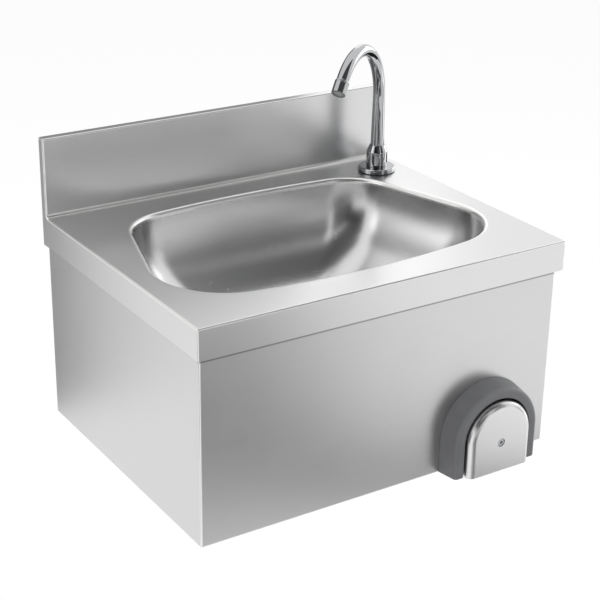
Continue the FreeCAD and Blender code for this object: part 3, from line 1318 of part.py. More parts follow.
def make_valve(stem_seat, core_rear):
    plate = -GUARD_BACK_WALL
    flange = plate - BONNET_FLANGE_HEIGHT
    bore = STEM_RADIUS + STEM_GAP
    groove = RING_WIRE_RADIUS * 2 + GROOVE_SPARE
    groove_start = BONNET_LENGTH - GROOVE_LAND - groove
    groove_radius = bore + RING_GAP + RING_WIRE_RADIUS * 2
    keep(on_axis("bonnet_turned", [
        (bore, flange),
        (BONNET_FLANGE_RADIUS, flange),
        (BONNET_FLANGE_RADIUS, plate),
        (BONNET_RADIUS, plate),
        (BONNET_RADIUS, BONNET_LENGTH),
        (bore, BONNET_LENGTH),
        (bore, groove_start + groove),
        (groove_radius, groove_start + groove),
        (groove_radius, groove_start),
        (bore, groove_start),
    ]), "valve_bonnet")
    keep(ring(
        "stem_ring_torus", bore + RING_GAP + RING_WIRE_RADIUS - THREAD_GAP / 2, RING_WIRE_RADIUS,
        KNEE_RIGHT, cabinet_front + groove_start + groove / 2, axis_z, "y",
    ), "stem_ring")
    inside = cabinet_front + SHEET_GAUGE
    nut = hexagon("panel_locknut_block", LOCKNUT_WIDTH, LOCKNUT_HEIGHT, KNEE_RIGHT, inside, axis_z, "y")
    nut_bore = drill(
        "panel_locknut_bore", BONNET_RADIUS + THREAD_GAP, LOCKNUT_HEIGHT, KNEE_RIGHT, inside, axis_z, "y"
    )
    keep(cut("panel_locknut_solid", nut, nut_bore), "panel_locknut")

    front_end = BONNET_LENGTH + FRONT_CHAMBER
    seat_end = front_end + SEAT_THICKNESS
    rear_end = seat_end + REAR_CHAMBER
    valve_end = rear_end + INLET_SOCKET
    socket = INLET_RADIUS + THREAD_GAP
    tube = on_axis("valve_body_turned", [
        (BONNET_RADIUS + THREAD_GAP, VALVE_START),
        (VALVE_RADIUS, VALVE_START),
        (VALVE_RADIUS, valve_end),
        (socket, valve_end),
        (socket, rear_end),
        (CHAMBER_RADIUS, rear_end),
        (CHAMBER_RADIUS, seat_end),
        (SEAT_RADIUS, seat_end),
        (SEAT_RADIUS, front_end),
        (CHAMBER_RADIUS, front_end),
        (CHAMBER_RADIUS, BONNET_LENGTH),
        (BONNET_RADIUS + THREAD_GAP, BONNET_LENGTH),
    ])
    outlet_y = cabinet_front + BONNET_LENGTH + FRONT_CHAMBER / 2
    outlet_foot = BONNET_RADIUS + OUTLET_FOOT_GAP
    outlet = rod(
        "valve_outlet", OUTLET_RADIUS, OUTLET_RISE - outlet_foot, KNEE_RIGHT, outlet_y, axis_z + outlet_foot
    )
    chamber = rod(
        "valve_outlet_chamber", CHAMBER_RADIUS, FRONT_CHAMBER,
        KNEE_RIGHT, cabinet_front + BONNET_LENGTH, axis_z, "y",
    )
    passage = drill("valve_outlet_bore", ADAPTER_BORE_RADIUS, OUTLET_RISE, KNEE_RIGHT, outlet_y, axis_z)
    socket_low = axis_z + OUTLET_RISE - PIPE_INSERT
    pipe_socket = rod(
        "valve_pipe_socket", PIPE_RADIUS + THREAD_GAP, 2 * PIPE_INSERT, KNEE_RIGHT, outlet_y, socket_low
    )
    solid = fuse("valve_body_fused", tube, outlet)
    keep(cut("valve_body_solid", solid, chamber, passage, pipe_socket), "valve_body")

    stem_front = stem_seat - cabinet_front
    stem_step = seat_end
    poppet_end = stem_step + POPPET_THICKNESS
    nut_end = poppet_end + POPPET_NUT_HEIGHT
    screw_front = pad_front - cabinet_front + PAD_SCREW_SINK
    screw_end = screw_front + PAD_SCREW_HEAD_HEIGHT + PAD_SCREW_REACH + STEM_END_GAP
    spigot_end = nut_end + STEM_END_GAP
    blind = PAD_SCREW_RADIUS + THREAD_GAP
    keep(on_axis("plunger_turned", [
        (blind, stem_front),
        (STEM_RADIUS, stem_front),
        (STEM_RADIUS, stem_step),
        (POPPET_SPIGOT, stem_step),
        (POPPET_SPIGOT, spigot_end),
        (0, spigot_end),
        (0, screw_end),
        (blind, screw_end),
    ]), "plunger")
    keep(on_axis("poppet_turned", [
        (POPPET_SPIGOT, stem_step),
        (POPPET_RADIUS, stem_step),
        (POPPET_RADIUS, poppet_end),
        (POPPET_SPIGOT, poppet_end),
    ]), "poppet")
    nut_y = cabinet_front + poppet_end
    poppet_nut = hexagon(
        "poppet_nut_block", POPPET_NUT_WIDTH, POPPET_NUT_HEIGHT, KNEE_RIGHT, nut_y, axis_z, "y"
    )
    poppet_bore = drill(
        "poppet_nut_bore", POPPET_SPIGOT + THREAD_GAP, POPPET_NUT_HEIGHT, KNEE_RIGHT, nut_y, axis_z, "y"
    )
    keep(cut("poppet_nut_solid", poppet_nut, poppet_bore), "poppet_nut")

    seal_end = rear_end + INLET_SEAL_THICKNESS
    keep(on_axis("inlet_seal_turned", [
        (INLET_BORE_RADIUS, rear_end),
        (INLET_RADIUS, rear_end),
        (INLET_RADIUS, seal_end),
        (INLET_BORE_RADIUS, seal_end),
    ]), "inlet_seal")
    hex_end = valve_end + INLET_HEX_HEIGHT
    nipple_end = hex_end + INLET_LENGTH
    nipple = on_axis("inlet_nipple_turned", [
        (INLET_BORE_RADIUS, seal_end),
        (INLET_RADIUS, seal_end),
        (INLET_RADIUS, nipple_end),
        (INLET_BORE_RADIUS, nipple_end),
    ])
    grip = hexagon(
        "inlet_nipple_grip", INLET_HEX_WIDTH, INLET_HEX_HEIGHT,
        KNEE_RIGHT, cabinet_front + valve_end, axis_z, "y",
    )
    grip_bore = drill(
        "inlet_nipple_grip_bore", (INLET_BORE_RADIUS + INLET_RADIUS) / 2, INLET_HEX_HEIGHT,
        KNEE_RIGHT, cabinet_front + valve_end, axis_z, "y",
    )
    keep(fuse("inlet_nipple_solid", nipple, cut("inlet_nipple_collar", grip, grip_bore)), "inlet_nipple")
    make_spring(cabinet_front + flange, core_rear - SPRING_POCKET)
    return outlet_y


def arc_from(start, corner, end):
    """The arc from start to end whose end tangents meet at the corner."""
    middle = (start + end) * 0.5
    half_chord = (end - start).Length / 2
    half_turn = math.acos(min(1, half_chord / (corner - start).Length))
    rise = (corner - middle).normalize() * half_chord * math.tan(half_turn / 2)
    return Part.Arc(start, middle + rise, end).toShape()


def biarc(start, start_heading, end, end_heading):
    """Two arcs that meet smoothly and carry one heading over to the other."""
    chord = end - start
    along = chord.dot(start_heading + end_heading)
    spread_apart = 2 * (1 - start_heading.dot(end_heading))
    reach = (math.sqrt(along ** 2 + spread_apart * chord.dot(chord)) - along) / spread_apart
    first_corner = start + start_heading * reach
    last_corner = end - end_heading * reach
    joint = (first_corner + last_corner) * 0.5
    return [arc_from(start, first_corner, joint), arc_from(joint, last_corner, end)]


def make_spring(rear, front):
    """A round-wire coil between the bonnet's flange and the pocket in the pad's core."""
    wire_radius = SPRING_WIRE_RADIUS.value
    inset = wire_radius + SPRING_SEAT_GAP.value
    length = rear.value - front.value - 2 * inset
    turns = SPRING_TURNS.value
    radius = SPRING_RADIUS.value
    climb = length / (2 * math.pi * turns)
    quarters = round(4 * turns)
    points = []
    headings = []
    for step in range(quarters + 1):
        turn = 2 * math.pi * turns * step / quarters
        points.append(Vector(radius * math.cos(turn), radius * math.sin(turn), climb * turn))
        headings.append(Vector(-radius * math.sin(turn), radius * math.cos(turn), climb).normalize())
    edges = []
    for step in range(quarters):
        edges += biarc(points[step], headings[step], points[step + 1], headings[step + 1])
    wire = Part.Wire(edges)
    section = Part.Wire(Part.makeCircle(wire_radius, points[0], headings[0]))
    coil = wire.makePipeShell([section], True, False)
    print("spring volume {:.4f} of its section times its length".format(
        coil.Volume / (math.pi * wire_radius ** 2 * wire.Length)
    ))
    spring = feature_of("return_spring_coil", coil)
    spring.Placement = Placement(
        Vector(KNEE_RIGHT.value, front.value + inset, axis_z.value), TURNS["y"]
    )
    print("spring pitch {:.2f} mm, gap between turns {:.2f} mm".format(
        length / turns, length / turns - 2 * wire_radius
    ))
    return keep(spring, "return_spring")


# ---------------------------------------------------------------- pipe from the valve to the tap


def bent_path(points, radius):
    """Straight runs through the points, joined by tangent arcs of one radius."""
    edges = []
    start = points[0]
    for before, corner, after in zip(points, points[1:], points[2:]):
        inward = (before - corner).normalize()
        outward = (after - corner).normalize()
        half_turn = (math.pi - inward.getAngle(outward)) / 2
        reach = radius * math.tan(half_turn)
        first = corner + inward * reach
        last = corner + outward * reach
        bisector = (inward + outward).normalize()
        middle = corner + bisector * (radius / math.cos(half_turn) - radius)
        edges.append(Part.makeLine(start, first))
        edges.append(Part.Arc(first, middle, last).toShape())
        start = last
    edges.append(Part.makeLine(start, points[-1]))
    return Part.Wire(edges)


def union_nut(name, x, y, face, sign):
    """The olive and the nut that hold the pipe's end on a male thread, below or above its end face."""
    olive_low = face if sign > 0 else face - OLIVE_HEIGHT
    olive = washer(
        name + "_olive_turned", PIPE_RADIUS, OLIVE_RADIUS, olive_low, olive_low + OLIVE_HEIGHT, x, y
    )
    keep(olive, name + "_olive")
    roof = face + sign * OLIVE_HEIGHT
    nut_low = roof + PIPE_NUT_ROOF - PIPE_NUT_HEIGHT if sign > 0 else roof - PIPE_NUT_ROOF
    block = hexagon(name + "_nut_block", PIPE_NUT_WIDTH, PIPE_NUT_HEIGHT, x, y, nut_low)
    bore = drill(name + "_nut_bore", PIPE_RADIUS + THREAD_GAP, PIPE_NUT_HEIGHT, x, y, nut_low)
    well_low = roof - PIPE_NUT_HEIGHT if sign > 0 else roof
    well = rod(name + "_nut_well", OUTLET_RADIUS + THREAD_GAP, PIPE_NUT_HEIGHT, x, y, well_low)
    keep(cut(name + "_nut_solid", block, bore, well), name + "_nut")


def make_pipe(outlet_y):
    union_nut("lower_union", KNEE_RIGHT, outlet_y, axis_z + OUTLET_RISE, 1)
    shank_end = -SHANK_LENGTH
    shoulder = shank_end - ADAPTER_FLANGE
    adapter_end = shoulder - ADAPTER_THREAD
    keep(turned("pipe_adapter_turned", [
        (PIPE_RADIUS + THREAD_GAP, adapter_end),
        (OUTLET_RADIUS, adapter_end),
        (OUTLET_RADIUS, shoulder),
        (SHANK_RADIUS, shoulder),
        (SHANK_RADIUS, shank_end),
        (SHANK_SOCKET_RADIUS, shank_end),
        (SHANK_SOCKET_RADIUS, shank_end + ADAPTER_LENGTH),
        (ADAPTER_BORE_RADIUS, shank_end + ADAPTER_LENGTH),
        (ADAPTER_BORE_RADIUS, adapter_end + PIPE_INSERT),
        (PIPE_RADIUS + THREAD_GAP, adapter_end + PIPE_INSERT),
    ], tap_x, tap_y), "pipe_adapter")
    union_nut("upper_union", tap_x, tap_y, adapter_end, -1)
    low = -PIPE_LOW.value
    foot = axis_z + OUTLET_RISE - PIPE_INSERT
    head = adapter_end + PIPE_INSERT
    start = Vector(KNEE_RIGHT.value, outlet_y.value, foot.value)
    finish = Vector(tap_x.value, tap_y.value, head.value)
    points = [
        start,
        Vector(start.x, start.y, low),
        Vector(finish.x, finish.y, low),
        finish,
    ]
    path = bent_path(points, PIPE_BEND.value)
    bore_radius = PIPE_RADIUS.value - PIPE_WALL.value
    section = Part.Wire(Part.makeCircle(PIPE_RADIUS.value, start, Vector(0, 0, 1)))
    hollow = Part.Wire(Part.makeCircle(bore_radius, start, Vector(0, 0, 1)))
    outside = path.makePipeShell([section], True, False)
    inside = path.makePipeShell([hollow], True, False)
    tube = outside.cut(inside)
    expected = math.pi * (PIPE_RADIUS.value ** 2 - bore_radius ** 2) * path.Length
    print("pipe {:.1f} mm long, volume {:.4f} of its section times its length".format(
        path.Length, tube.Volume / expected
    ))
    keep(feature_of("supply_pipe_tube", tube), "supply_pipe")


# ---------------------------------------------------------------- the whole sink

make_worktop()
make_bowl()
make_cabinet()
make_studs()
make_rear_rail()
make_waste()
make_tap()
make_guard()
stem_seat, core_rear = make_pad()
outlet_y = make_valve(stem_seat, core_rear)
make_pipe(outlet_y)
doc.recompute()

faults = []
for thing in doc.Objects:
    if "Invalid" in thing.State or "Error" in thing.State:
        faults.append("{} ({}): {}".format(thing.Name, thing.Label, thing.State))
for part in parts:
    if part.Shape.isNull() or not part.Shape.isValid() or not part.Shape.Solids:
        faults.append("{}: no valid solid".format(part.Label))
if faults:
    raise RuntimeError("; ".join(faults))

os.makedirs("parts", exist_ok=True)
for part in parts:
    part.Shape.exportStep(os.path.join("parts", part.Label + ".step"))
    bounds = part.Shape.BoundBox
    print("{:20s} solids {:2d}  volume {:9.1f} mm3  {:.1f} x {:.1f} x {:.1f} mm".format(
        part.Label, len(part.Shape.Solids), part.Shape.Volume,
        bounds.XLength, bounds.YLength, bounds.ZLength,
    ))
print(len(parts), "sub-parts")
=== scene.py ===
# %% [markdown]
# # A wall-hung hand wash sink
#
# This notebook dresses a knee-operated hand wash sink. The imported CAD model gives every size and
# place, so the first step loads it as a frame that never moves. Each later cell builds one piece of
# the sink in bmesh, gives it a finish, and says which body of the frame it rides on.
#
# The scene is in metres, and the sizes of the pieces are written in millimetres. The origin is on
# the wall face, half way along the sink, at the height of the deck. X runs to the right along the
# wall, Y into the wall and Z up.

# %% Load the frame
import json
import math

import bmesh
import bpy
from mathutils import Matrix, Vector


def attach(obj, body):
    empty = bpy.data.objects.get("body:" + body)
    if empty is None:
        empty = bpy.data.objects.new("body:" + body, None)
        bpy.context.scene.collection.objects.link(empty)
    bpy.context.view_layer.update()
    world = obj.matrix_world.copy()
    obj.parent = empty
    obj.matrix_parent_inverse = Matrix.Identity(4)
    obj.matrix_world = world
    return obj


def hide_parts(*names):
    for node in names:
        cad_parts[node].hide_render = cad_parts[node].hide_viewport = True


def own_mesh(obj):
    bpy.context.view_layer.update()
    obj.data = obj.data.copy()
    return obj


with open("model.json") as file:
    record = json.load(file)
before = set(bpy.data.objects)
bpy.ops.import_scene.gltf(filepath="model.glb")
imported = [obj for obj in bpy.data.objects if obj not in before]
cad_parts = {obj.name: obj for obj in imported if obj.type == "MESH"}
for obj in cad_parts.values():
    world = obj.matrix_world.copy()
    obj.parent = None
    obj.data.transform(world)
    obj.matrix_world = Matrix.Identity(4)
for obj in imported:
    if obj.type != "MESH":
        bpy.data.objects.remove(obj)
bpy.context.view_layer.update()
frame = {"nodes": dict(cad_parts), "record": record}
print("CAD nodes:", len(frame["nodes"]))

# %% [markdown]
# ## The camera
#
# The sink is seen from the left and from above, with a long lens, as a catalogue does it: a long
# lens keeps the folded edges nearly parallel. The camera is set from three angles and a place. The
# roll is the degree by which a hand-held picture leans.

# %% Camera
MM = 0.001
OBJECT_MIDDLE = Vector((0, -0.2, -0.1))
CAMERA_PLACE = Vector((-0.9436, -1.6557, 0.6606))
CAMERA_AZIMUTH = math.radians(-32.89)
CAMERA_ELEVATION = math.radians(23.48)
CAMERA_ROLL = math.radians(0.96)
LENS = 92.58
SENSOR = 36.0
level = math.cos(CAMERA_ELEVATION)
back = Vector((
    math.sin(CAMERA_AZIMUTH) * level, -math.cos(CAMERA_AZIMUTH) * level,
    math.sin(CAMERA_ELEVATION),
))
right = Vector((math.cos(CAMERA_AZIMUTH), math.sin(CAMERA_AZIMUTH), 0))
roll = Matrix.Rotation(CAMERA_ROLL, 3, back)
axes = Matrix((roll @ right, roll @ back.cross(right), back)).transposed().to_4x4()
camera_data = bpy.data.cameras.new("camera")
camera_data.lens = LENS
camera_data.sensor_width = SENSOR
camera = bpy.data.objects.new("camera", camera_data)
camera.matrix_world = Matrix.Translation(CAMERA_PLACE) @ axes
bpy.context.scene.collection.objects.link(camera)
bpy.context.scene.camera = camera
print("camera", round((CAMERA_PLACE - OBJECT_MIDDLE).length, 2), "m from the sink")

# %% [markdown]
# ## Floor, world, lamp and cards
#
# The sink hangs on a wall, so the floor lies well below it, at the height a deck like this has over
# a floor. The floor and the world are white to the camera and in reflections. One large soft lamp
# lights the sink from above. Bright, grey and dark cards stand where only reflections see them:
# polished metal in an all-white room has no shape, and cards are how its edges are drawn.

# %% Floor
FLOOR_LEVEL = -0.86
FLOOR_REACH = 15.0
FLOOR_GREY, FLOOR_GLOW = 0.62, 0.52
scene = bpy.context.scene


def link(obj):
    scene.collection.objects.link(obj)
    return obj


def object_of(bm, name):
    """Turns a bmesh into an object at the origin."""
    mesh = bpy.data.meshes.new(name)
    bm.to_mesh(mesh)
    bm.free()
    return link(bpy.data.objects.new(name, mesh))


def node_tree(owner):
    owner.use_nodes = True
    owner.node_tree.nodes.clear()
    return owner.node_tree


def add(tree, kind, **values):
    """A shader node of a kind, with its options set."""
    node = tree.nodes.new("ShaderNode" + kind)
    for name, value in values.items():
        setattr(node, name, value)
    return node


def feed(tree, slot, value):
    """Links a socket to an input, or writes a plain number into it."""
    if isinstance(value, bpy.types.NodeSocket):
        tree.links.new(value, slot)
    else:
        slot.default_value = value


def maths(tree, operation, *values):
    """A Math node fed by sockets or plain numbers. Returns its output."""
    node = add(tree, "Math", operation=operation)
    for slot, value in zip(node.inputs, values):
        feed(tree, slot, value)
    return node.outputs[0]


def reflected_or_seen(tree):
    """1 for rays that the eye sees straight, in a reflection or through glass, and 0 for light."""
    path = add(tree, "LightPath").outputs
    seen = maths(tree, "MAXIMUM", path["Is Camera Ray"], path["Is Glossy Ray"])
    return maths(tree, "MAXIMUM", seen, path["Is Transmission Ray"])


def floor_finish():
    material = bpy.data.materials.new("pale_floor")
    tree = node_tree(material)
    matt = add(tree, "BsdfDiffuse")
    matt.inputs["Color"].default_value = (FLOOR_GREY, FLOOR_GREY, FLOOR_GREY, 1)
    glow = add(tree, "Emission")
    glow.inputs["Color"].default_value = (1, 1, 1, 1)
    level = maths(tree, "MULTIPLY", reflected_or_seen(tree), FLOOR_GLOW)
    tree.links.new(level, glow.inputs["Strength"])
    both = add(tree, "AddShader")
    tree.links.new(matt.outputs[0], both.inputs[0])
    tree.links.new(glow.outputs[0], both.inputs[1])
    out = add(tree, "OutputMaterial")
    tree.links.new(both.outputs[0], out.inputs["Surface"])
    return material


bm = bmesh.new()
bmesh.ops.create_grid(bm, x_segments=1, y_segments=1, size=FLOOR_REACH)
bmesh.ops.translate(bm, verts=bm.verts, vec=(0, 0, FLOOR_LEVEL))
floor = object_of(bm, "floor")
floor.data.materials.append(floor_finish())

# %% World
WORLD_LIGHT = 0.72
world = bpy.data.worlds.new("studio")
scene.world = world
tree = node_tree(world)
seen = reflected_or_seen(tree)
strength = add(tree, "MapRange")
strength.inputs["To Min"].default_value = WORLD_LIGHT
strength.inputs["To Max"].default_value = 1.0
tree.links.new(seen, strength.inputs["Value"])
sky = add(tree, "Background")
sky.inputs["Color"].default_value = (1, 1, 1, 1)
tree.links.new(strength.outputs[0], sky.inputs["Strength"])
tree.links.new(sky.outputs[0], add(tree, "OutputWorld").inputs["Surface"])

# %% Lamp and cards


def aimed(place, target=OBJECT_MIDDLE):
    """A pose at a place, with its -Z axis turned to a target."""
    turn = (Vector(target) - Vector(place)).to_track_quat("-Z", "Y")
    return Matrix.Translation(place) @ turn.to_matrix().to_4x4()


def lamp(name, place, size, power):
    """A flat lamp that lights the sink and isn't seen, not even in metal."""
    data = bpy.data.lights.new(name, "AREA")
    data.shape = "RECTANGLE"
    data.size, data.size_y = size
    data.energy = power
    obj = link(bpy.data.objects.new(name, data))
    obj.matrix_world = aimed(place)
    obj.visible_camera = obj.visible_glossy = False


def card(name, place, size, grey, target=OBJECT_MIDDLE):
    """A flat card that only reflections see. Its grey is the light it sends, and can be over 1."""
    bm = bmesh.new()
    bmesh.ops.create_grid(bm, x_segments=1, y_segments=1, size=0.5)
    bmesh.ops.scale(bm, verts=bm.verts, vec=(size[0], size[1], 1))
    bmesh.ops.transform(bm, verts=bm.verts, matrix=aimed(place, target))
    obj = object_of(bm, name)
    material = bpy.data.materials.new(name + "_paper")
    tree = node_tree(material)
    glow = add(tree, "Emission")
    glow.inputs["Color"].default_value = (grey, grey, grey, 1)
    tree.links.new(glow.outputs[0], add(tree, "OutputMaterial").inputs["Surface"])
    obj.data.materials.append(material)
    for ray in ("camera", "diffuse", "transmission", "volume_scatter", "shadow"):
        setattr(obj, "visible_" + ray, False)


lamp("soft_box_above", (0.9, -0.7, 2.2), (1.8, 1.8), 16)
card("bright_card_left", (-1.9, 0.2, 0.75), (0.6, 0.7), 1.6)
card("bright_card_right", (2.0, 0.2, 0.35), (1.3, 0.8), 2.4)
card("bright_card_low_right", (1.9, -0.7, -0.5), (0.7, 0.5), 2.2)
card("bright_card_low_left", (-1.4, -1.1, -0.6), (0.4, 0.4), 1.6)
card("bright_card_behind", (-1.2, 1.6, 1.4), (0.6, 0.6), 1.0)
card("dark_card_behind", (-0.6, 1.9, 0.75), (1.5, 1.0), 0.02)
card("grey_card_behind_left", (-0.05, 0.42, -0.05), (0.9, 0.9), 0.2, (-0.05, -1.0, -0.05))
card("dark_card_above", (0.0, -0.85, 1.25), (2.4, 1.2), 0.09)
card("dark_card_high_left", (-1.4, -1.2, 1.0), (1.3, 1.2), 0.02)
card("dark_card_front", (1.0, -2.0, 0.6), (0.9, 0.9), 0.10)
card("dark_card_left", (-1.4, -0.35, -0.4), (0.9, 0.8), 0.02)
card("grey_card_front", (0.0, -1.35, -0.62), (1.0, 0.5), 0.2, (-0.1, -0.3, -0.15))
card("dark_card_low", (0.35, -0.78, -0.56), (0.6, 0.1), 0.05, (0.1, -0.4, -0.25))
card("dark_card_behind_camera", (-1.2, -2.33, 0.76), (0.9, 1.4), 0.02)
card("grey_card_beside_camera", (-0.4, -2.5, 0.6), (1.3, 1.8), 0.1)
card("grey_card_left", (-1.7, 0.95, 1.2), (1.0, 1.0), 0.42)
card("dark_card_right", (1.48, -0.94, -0.32), (0.4, 0.5), 0.02)
card("dark_card_low_right", (1.1, 0.15, -0.5), (0.6, 0.5), 0.02)
card("bright_card_behind_right", (0.95, 1.1, 0.78), (0.5, 0.5), 1.5)
card("grey_card_front_right", (1.6, -1.8, 0.85), (0.5, 0.6), 0.4)
card("grey_card_high_front", (1.1, -1.52, 1.29), (1.0, 0.7), 0.3)

# %% [markdown]
# ## Finishes
#
# Stainless sheet for sinks is brushed along its length. The brush leaves lines a few hundredths of a
# millimetre wide and some centimetres long. They catch the light one by one when seen close, and
# from further away they only spread a reflection across the grain. The lines are noise stretched
# along the grain, and the grain turns with the face: along X on the deck and the fronts, and along Y
# on the ends. The group is built once, and each steel finish gives it its own values.

# %% The brushed grain as a node group
ON_END = 0.7
BAND_SCALE = 0.13


def group_of(name, inputs, outputs):
    """An empty node group with its sockets, and its two end nodes."""
    group = bpy.data.node_groups.new(name, "ShaderNodeTree")
    sockets = group.interface
    for label, value in inputs:
        socket = sockets.new_socket(name=label, in_out="INPUT", socket_type="NodeSocketFloat")
        socket.default_value = value
    for label in outputs:
        sockets.new_socket(name=label, in_out="OUTPUT", socket_type="NodeSocketFloat")
    return group, group.nodes.new("NodeGroupInput"), group.nodes.new("NodeGroupOutput")


def noise(tree, vector, scale, detail=2.0, roughness=0.5):
    node = add(tree, "TexNoise")
    tree.links.new(vector, node.inputs["Vector"])
    node.inputs["Detail"].default_value = detail
    node.inputs["Roughness"].default_value = roughness
    feed(tree, node.inputs["Scale"], scale)
    return node.outputs["Fac"]


def joined(tree, kind, *sockets, **options):
    """A node that takes sockets into its first inputs. Returns its output."""
    node = add(tree, kind, **options)
    for slot, socket in zip(node.inputs, sockets):
        tree.links.new(socket, slot)
    return node.outputs[0]


def brushed_grain():
    """Lines: the single brush lines. Bands: the broader streaks that many lines make together."""
    group, given, result = group_of(
        "brushed_grain", (("Across", 5200.0), ("Along", 28.0), ("Round", 0.0)), ("Lines", "Bands")
    )
    where = add(group, "TexCoord")
    parts = add(group, "SeparateXYZ")
    group.links.new(where.outputs["Normal"], parts.inputs[0])
    on_end = maths(group, "GREATER_THAN", maths(group, "ABSOLUTE", parts.outputs[0]), ON_END)
    across = given.outputs["Across"]
    along = given.outputs["Along"]
    difference = maths(group, "SUBTRACT", across, along)
    turned = maths(group, "MULTIPLY", on_end, difference)
    level = maths(group, "MULTIPLY", given.outputs["Round"], difference)
    wide = maths(group, "ADD", along, turned)
    deep = maths(group, "SUBTRACT", maths(group, "SUBTRACT", across, turned), level)
    deep = maths(group, "MAXIMUM", deep, along)
    stretch = joined(group, "CombineXYZ", wide, deep, across)
    fine = joined(group, "VectorMath", where.outputs["Object"], stretch, operation="MULTIPLY")
    group.links.new(noise(group, fine, 1.0, detail=3.0, roughness=0.7), result.inputs["Lines"])
    group.links.new(noise(group, fine, BAND_SCALE, roughness=0.6), result.inputs["Bands"])
    return group


grain_group = brushed_grain()
print("group", grain_group.name, "with", len(grain_group.nodes), "nodes")

# %% [markdown]
# A second group is shared by everything that hands and cloths touch: fine random scratches and the
# cloudy film that is left where water dries. They are hardly there on a new sink, but without them a
# surface looks as if it were made of light.

# %% Handling marks as a node group
HAIR_WIDTH = 0.0035
BREAK_SCALE, BREAK_LEVEL = 90.0, 0.56


def handling_marks():
    """Film: slow patches. Scratches: thin broken hairs that run every way."""
    group, given, result = group_of(
        "handling_marks", (("Patch", 18.0), ("Hair", 60.0)), ("Film", "Scratches")
    )
    where = add(group, "TexCoord").outputs["Object"]
    patches = noise(group, where, given.outputs["Patch"], detail=4.0)
    group.links.new(patches, result.inputs["Film"])
    waves = noise(group, where, given.outputs["Hair"], detail=1.0)
    ridge = maths(group, "ABSOLUTE", maths(group, "SUBTRACT", waves, 0.5))
    hair = maths(group, "LESS_THAN", ridge, HAIR_WIDTH)
    broken = maths(group, "GREATER_THAN", noise(group, where, BREAK_SCALE), BREAK_LEVEL)
    group.links.new(maths(group, "MULTIPLY", hair, broken), result.inputs["Scratches"])
    return group


marks_group = handling_marks()
print("group", marks_group.name, "with", len(marks_group.nodes), "nodes")

# %% [markdown]
# A finish is one Principled shader. What is the same all over is set on the shader's own sockets.
# What changes over the surface comes from the groups: the base colour goes a little darker in the
# grooves, the roughness wanders, and a Bump node tilts the surface across the grain.

# %% Helpers for finishes
NOISE_LOW, NOISE_HIGH = 0.3, 0.7


def finish(name, colour, metallic, roughness):
    """A material with one Principled shader. Returns its material, tree and shader."""
    material = bpy.data.materials.new(name)
    tree = node_tree(material)
    shader = add(tree, "BsdfPrincipled")
    shader.inputs["Base Color"].default_value = (*colour, 1)
    shader.inputs["Metallic"].default_value = metallic
    shader.inputs["Roughness"].default_value = roughness
    tree.links.new(shader.outputs[0], add(tree, "OutputMaterial").inputs["Surface"])
    return material, tree, shader


def placed(tree, group, **values):
    node = tree.nodes.new("ShaderNodeGroup")
    node.node_tree = group
    for label, value in values.items():
        node.inputs[label].default_value = value
    return node


def spread(tree, value, low=0.0, high=1.0, start=NOISE_LOW, stop=NOISE_HIGH):
    """Maps a pattern onto a range. It starts from the span in which nearly all of a noise lies."""
    node = add(tree, "MapRange")
    tree.links.new(value, node.inputs["Value"])
    for label, number in zip(("From Min", "From Max", "To Min", "To Max"), (start, stop, low, high)):
        node.inputs[label].default_value = number
    return node.outputs[0]


def blended(tree, a, b, share):
    """Two patterns added up, with a share of the first and the rest of the second."""
    rest = maths(tree, "MULTIPLY", b, round(1 - share, 3))
    return maths(tree, "ADD", maths(tree, "MULTIPLY", a, share), rest)


def wander(tree, shader, pattern, roughness, spots, weight, how="ADD"):
    """Lets the roughness follow a pattern between two values, and adds the scratches to it."""
    rough = spread(tree, pattern, *roughness)
    worn = maths(tree, "MULTIPLY", spots, weight)
    tree.links.new(maths(tree, how, rough, worn), shader.inputs["Roughness"])


def tinted(tree, shader, value, dark, light):
    """Mixes two colours by a pattern, and gives the shader the mix as its base colour."""
    node = add(tree, "Mix", data_type="RGBA", clamp_factor=False)
    colours = [s for s in node.inputs if s.type == "RGBA"]
    colours[0].default_value = (*dark, 1)
    colours[1].default_value = (*light, 1)
    tree.links.new(value, node.inputs["Factor"])
    mixed = next(s for s in node.outputs if s.type == "RGBA")
    tree.links.new(mixed, shader.inputs["Base Color"])


def bumped(tree, shader, height, depth):
    """Tilts the surface by a pattern of heights. The depth is in metres."""
    node = add(tree, "Bump")
    node.inputs["Strength"].default_value = 1.0
    node.inputs["Distance"].default_value = depth
    tree.links.new(height, node.inputs["Height"])
    tree.links.new(node.outputs[0], shader.inputs["Normal"])


# %% [markdown]
# Steel mixes its two colours by the brush lines. Folds get a painted highlight: their colour is made
# a little brighter, standing in for the light that a bend catches and a flat face doesn't. On the
# cabinet a dark line of painted shade, one millimetre high, lies under the folded edge of the apron,
# and the cabinet's steel is a darker copy of the same sheet steel, with painted shade in its colour.

# %% Brushed and pressed stainless steel
SHEET_GREYS = (0.74, 0.74, 0.745), (0.79, 0.79, 0.79)
# Painted shade: the cabinet is the same sheet as the worktop, and its greys are a darker copy of the
# sheet's.
SHADED_PANEL_GREYS = (0.67, 0.67, 0.67), (0.72, 0.72, 0.72)
BOWL_GREYS = (0.72, 0.72, 0.725), (0.76, 0.76, 0.76)
# Painted shade: the height and reach of a dark line in the cabinet's colour under the apron, and how
# dark it is.
APRON_EDGE = (-0.0432, 0.0010)
EDGE_SHADE = 7.0
STEEL_WANDER = 0.06


def under_edge(tree, level, reach):
    """1 at a height and 0 a short reach below it: the mask of a painted shade line under a folded
    edge.
    """
    parts = add(tree, "SeparateXYZ")
    tree.links.new(add(tree, "TexCoord").outputs["Object"], parts.inputs[0])
    return spread(tree, parts.outputs[2], start=level - reach, stop=level)


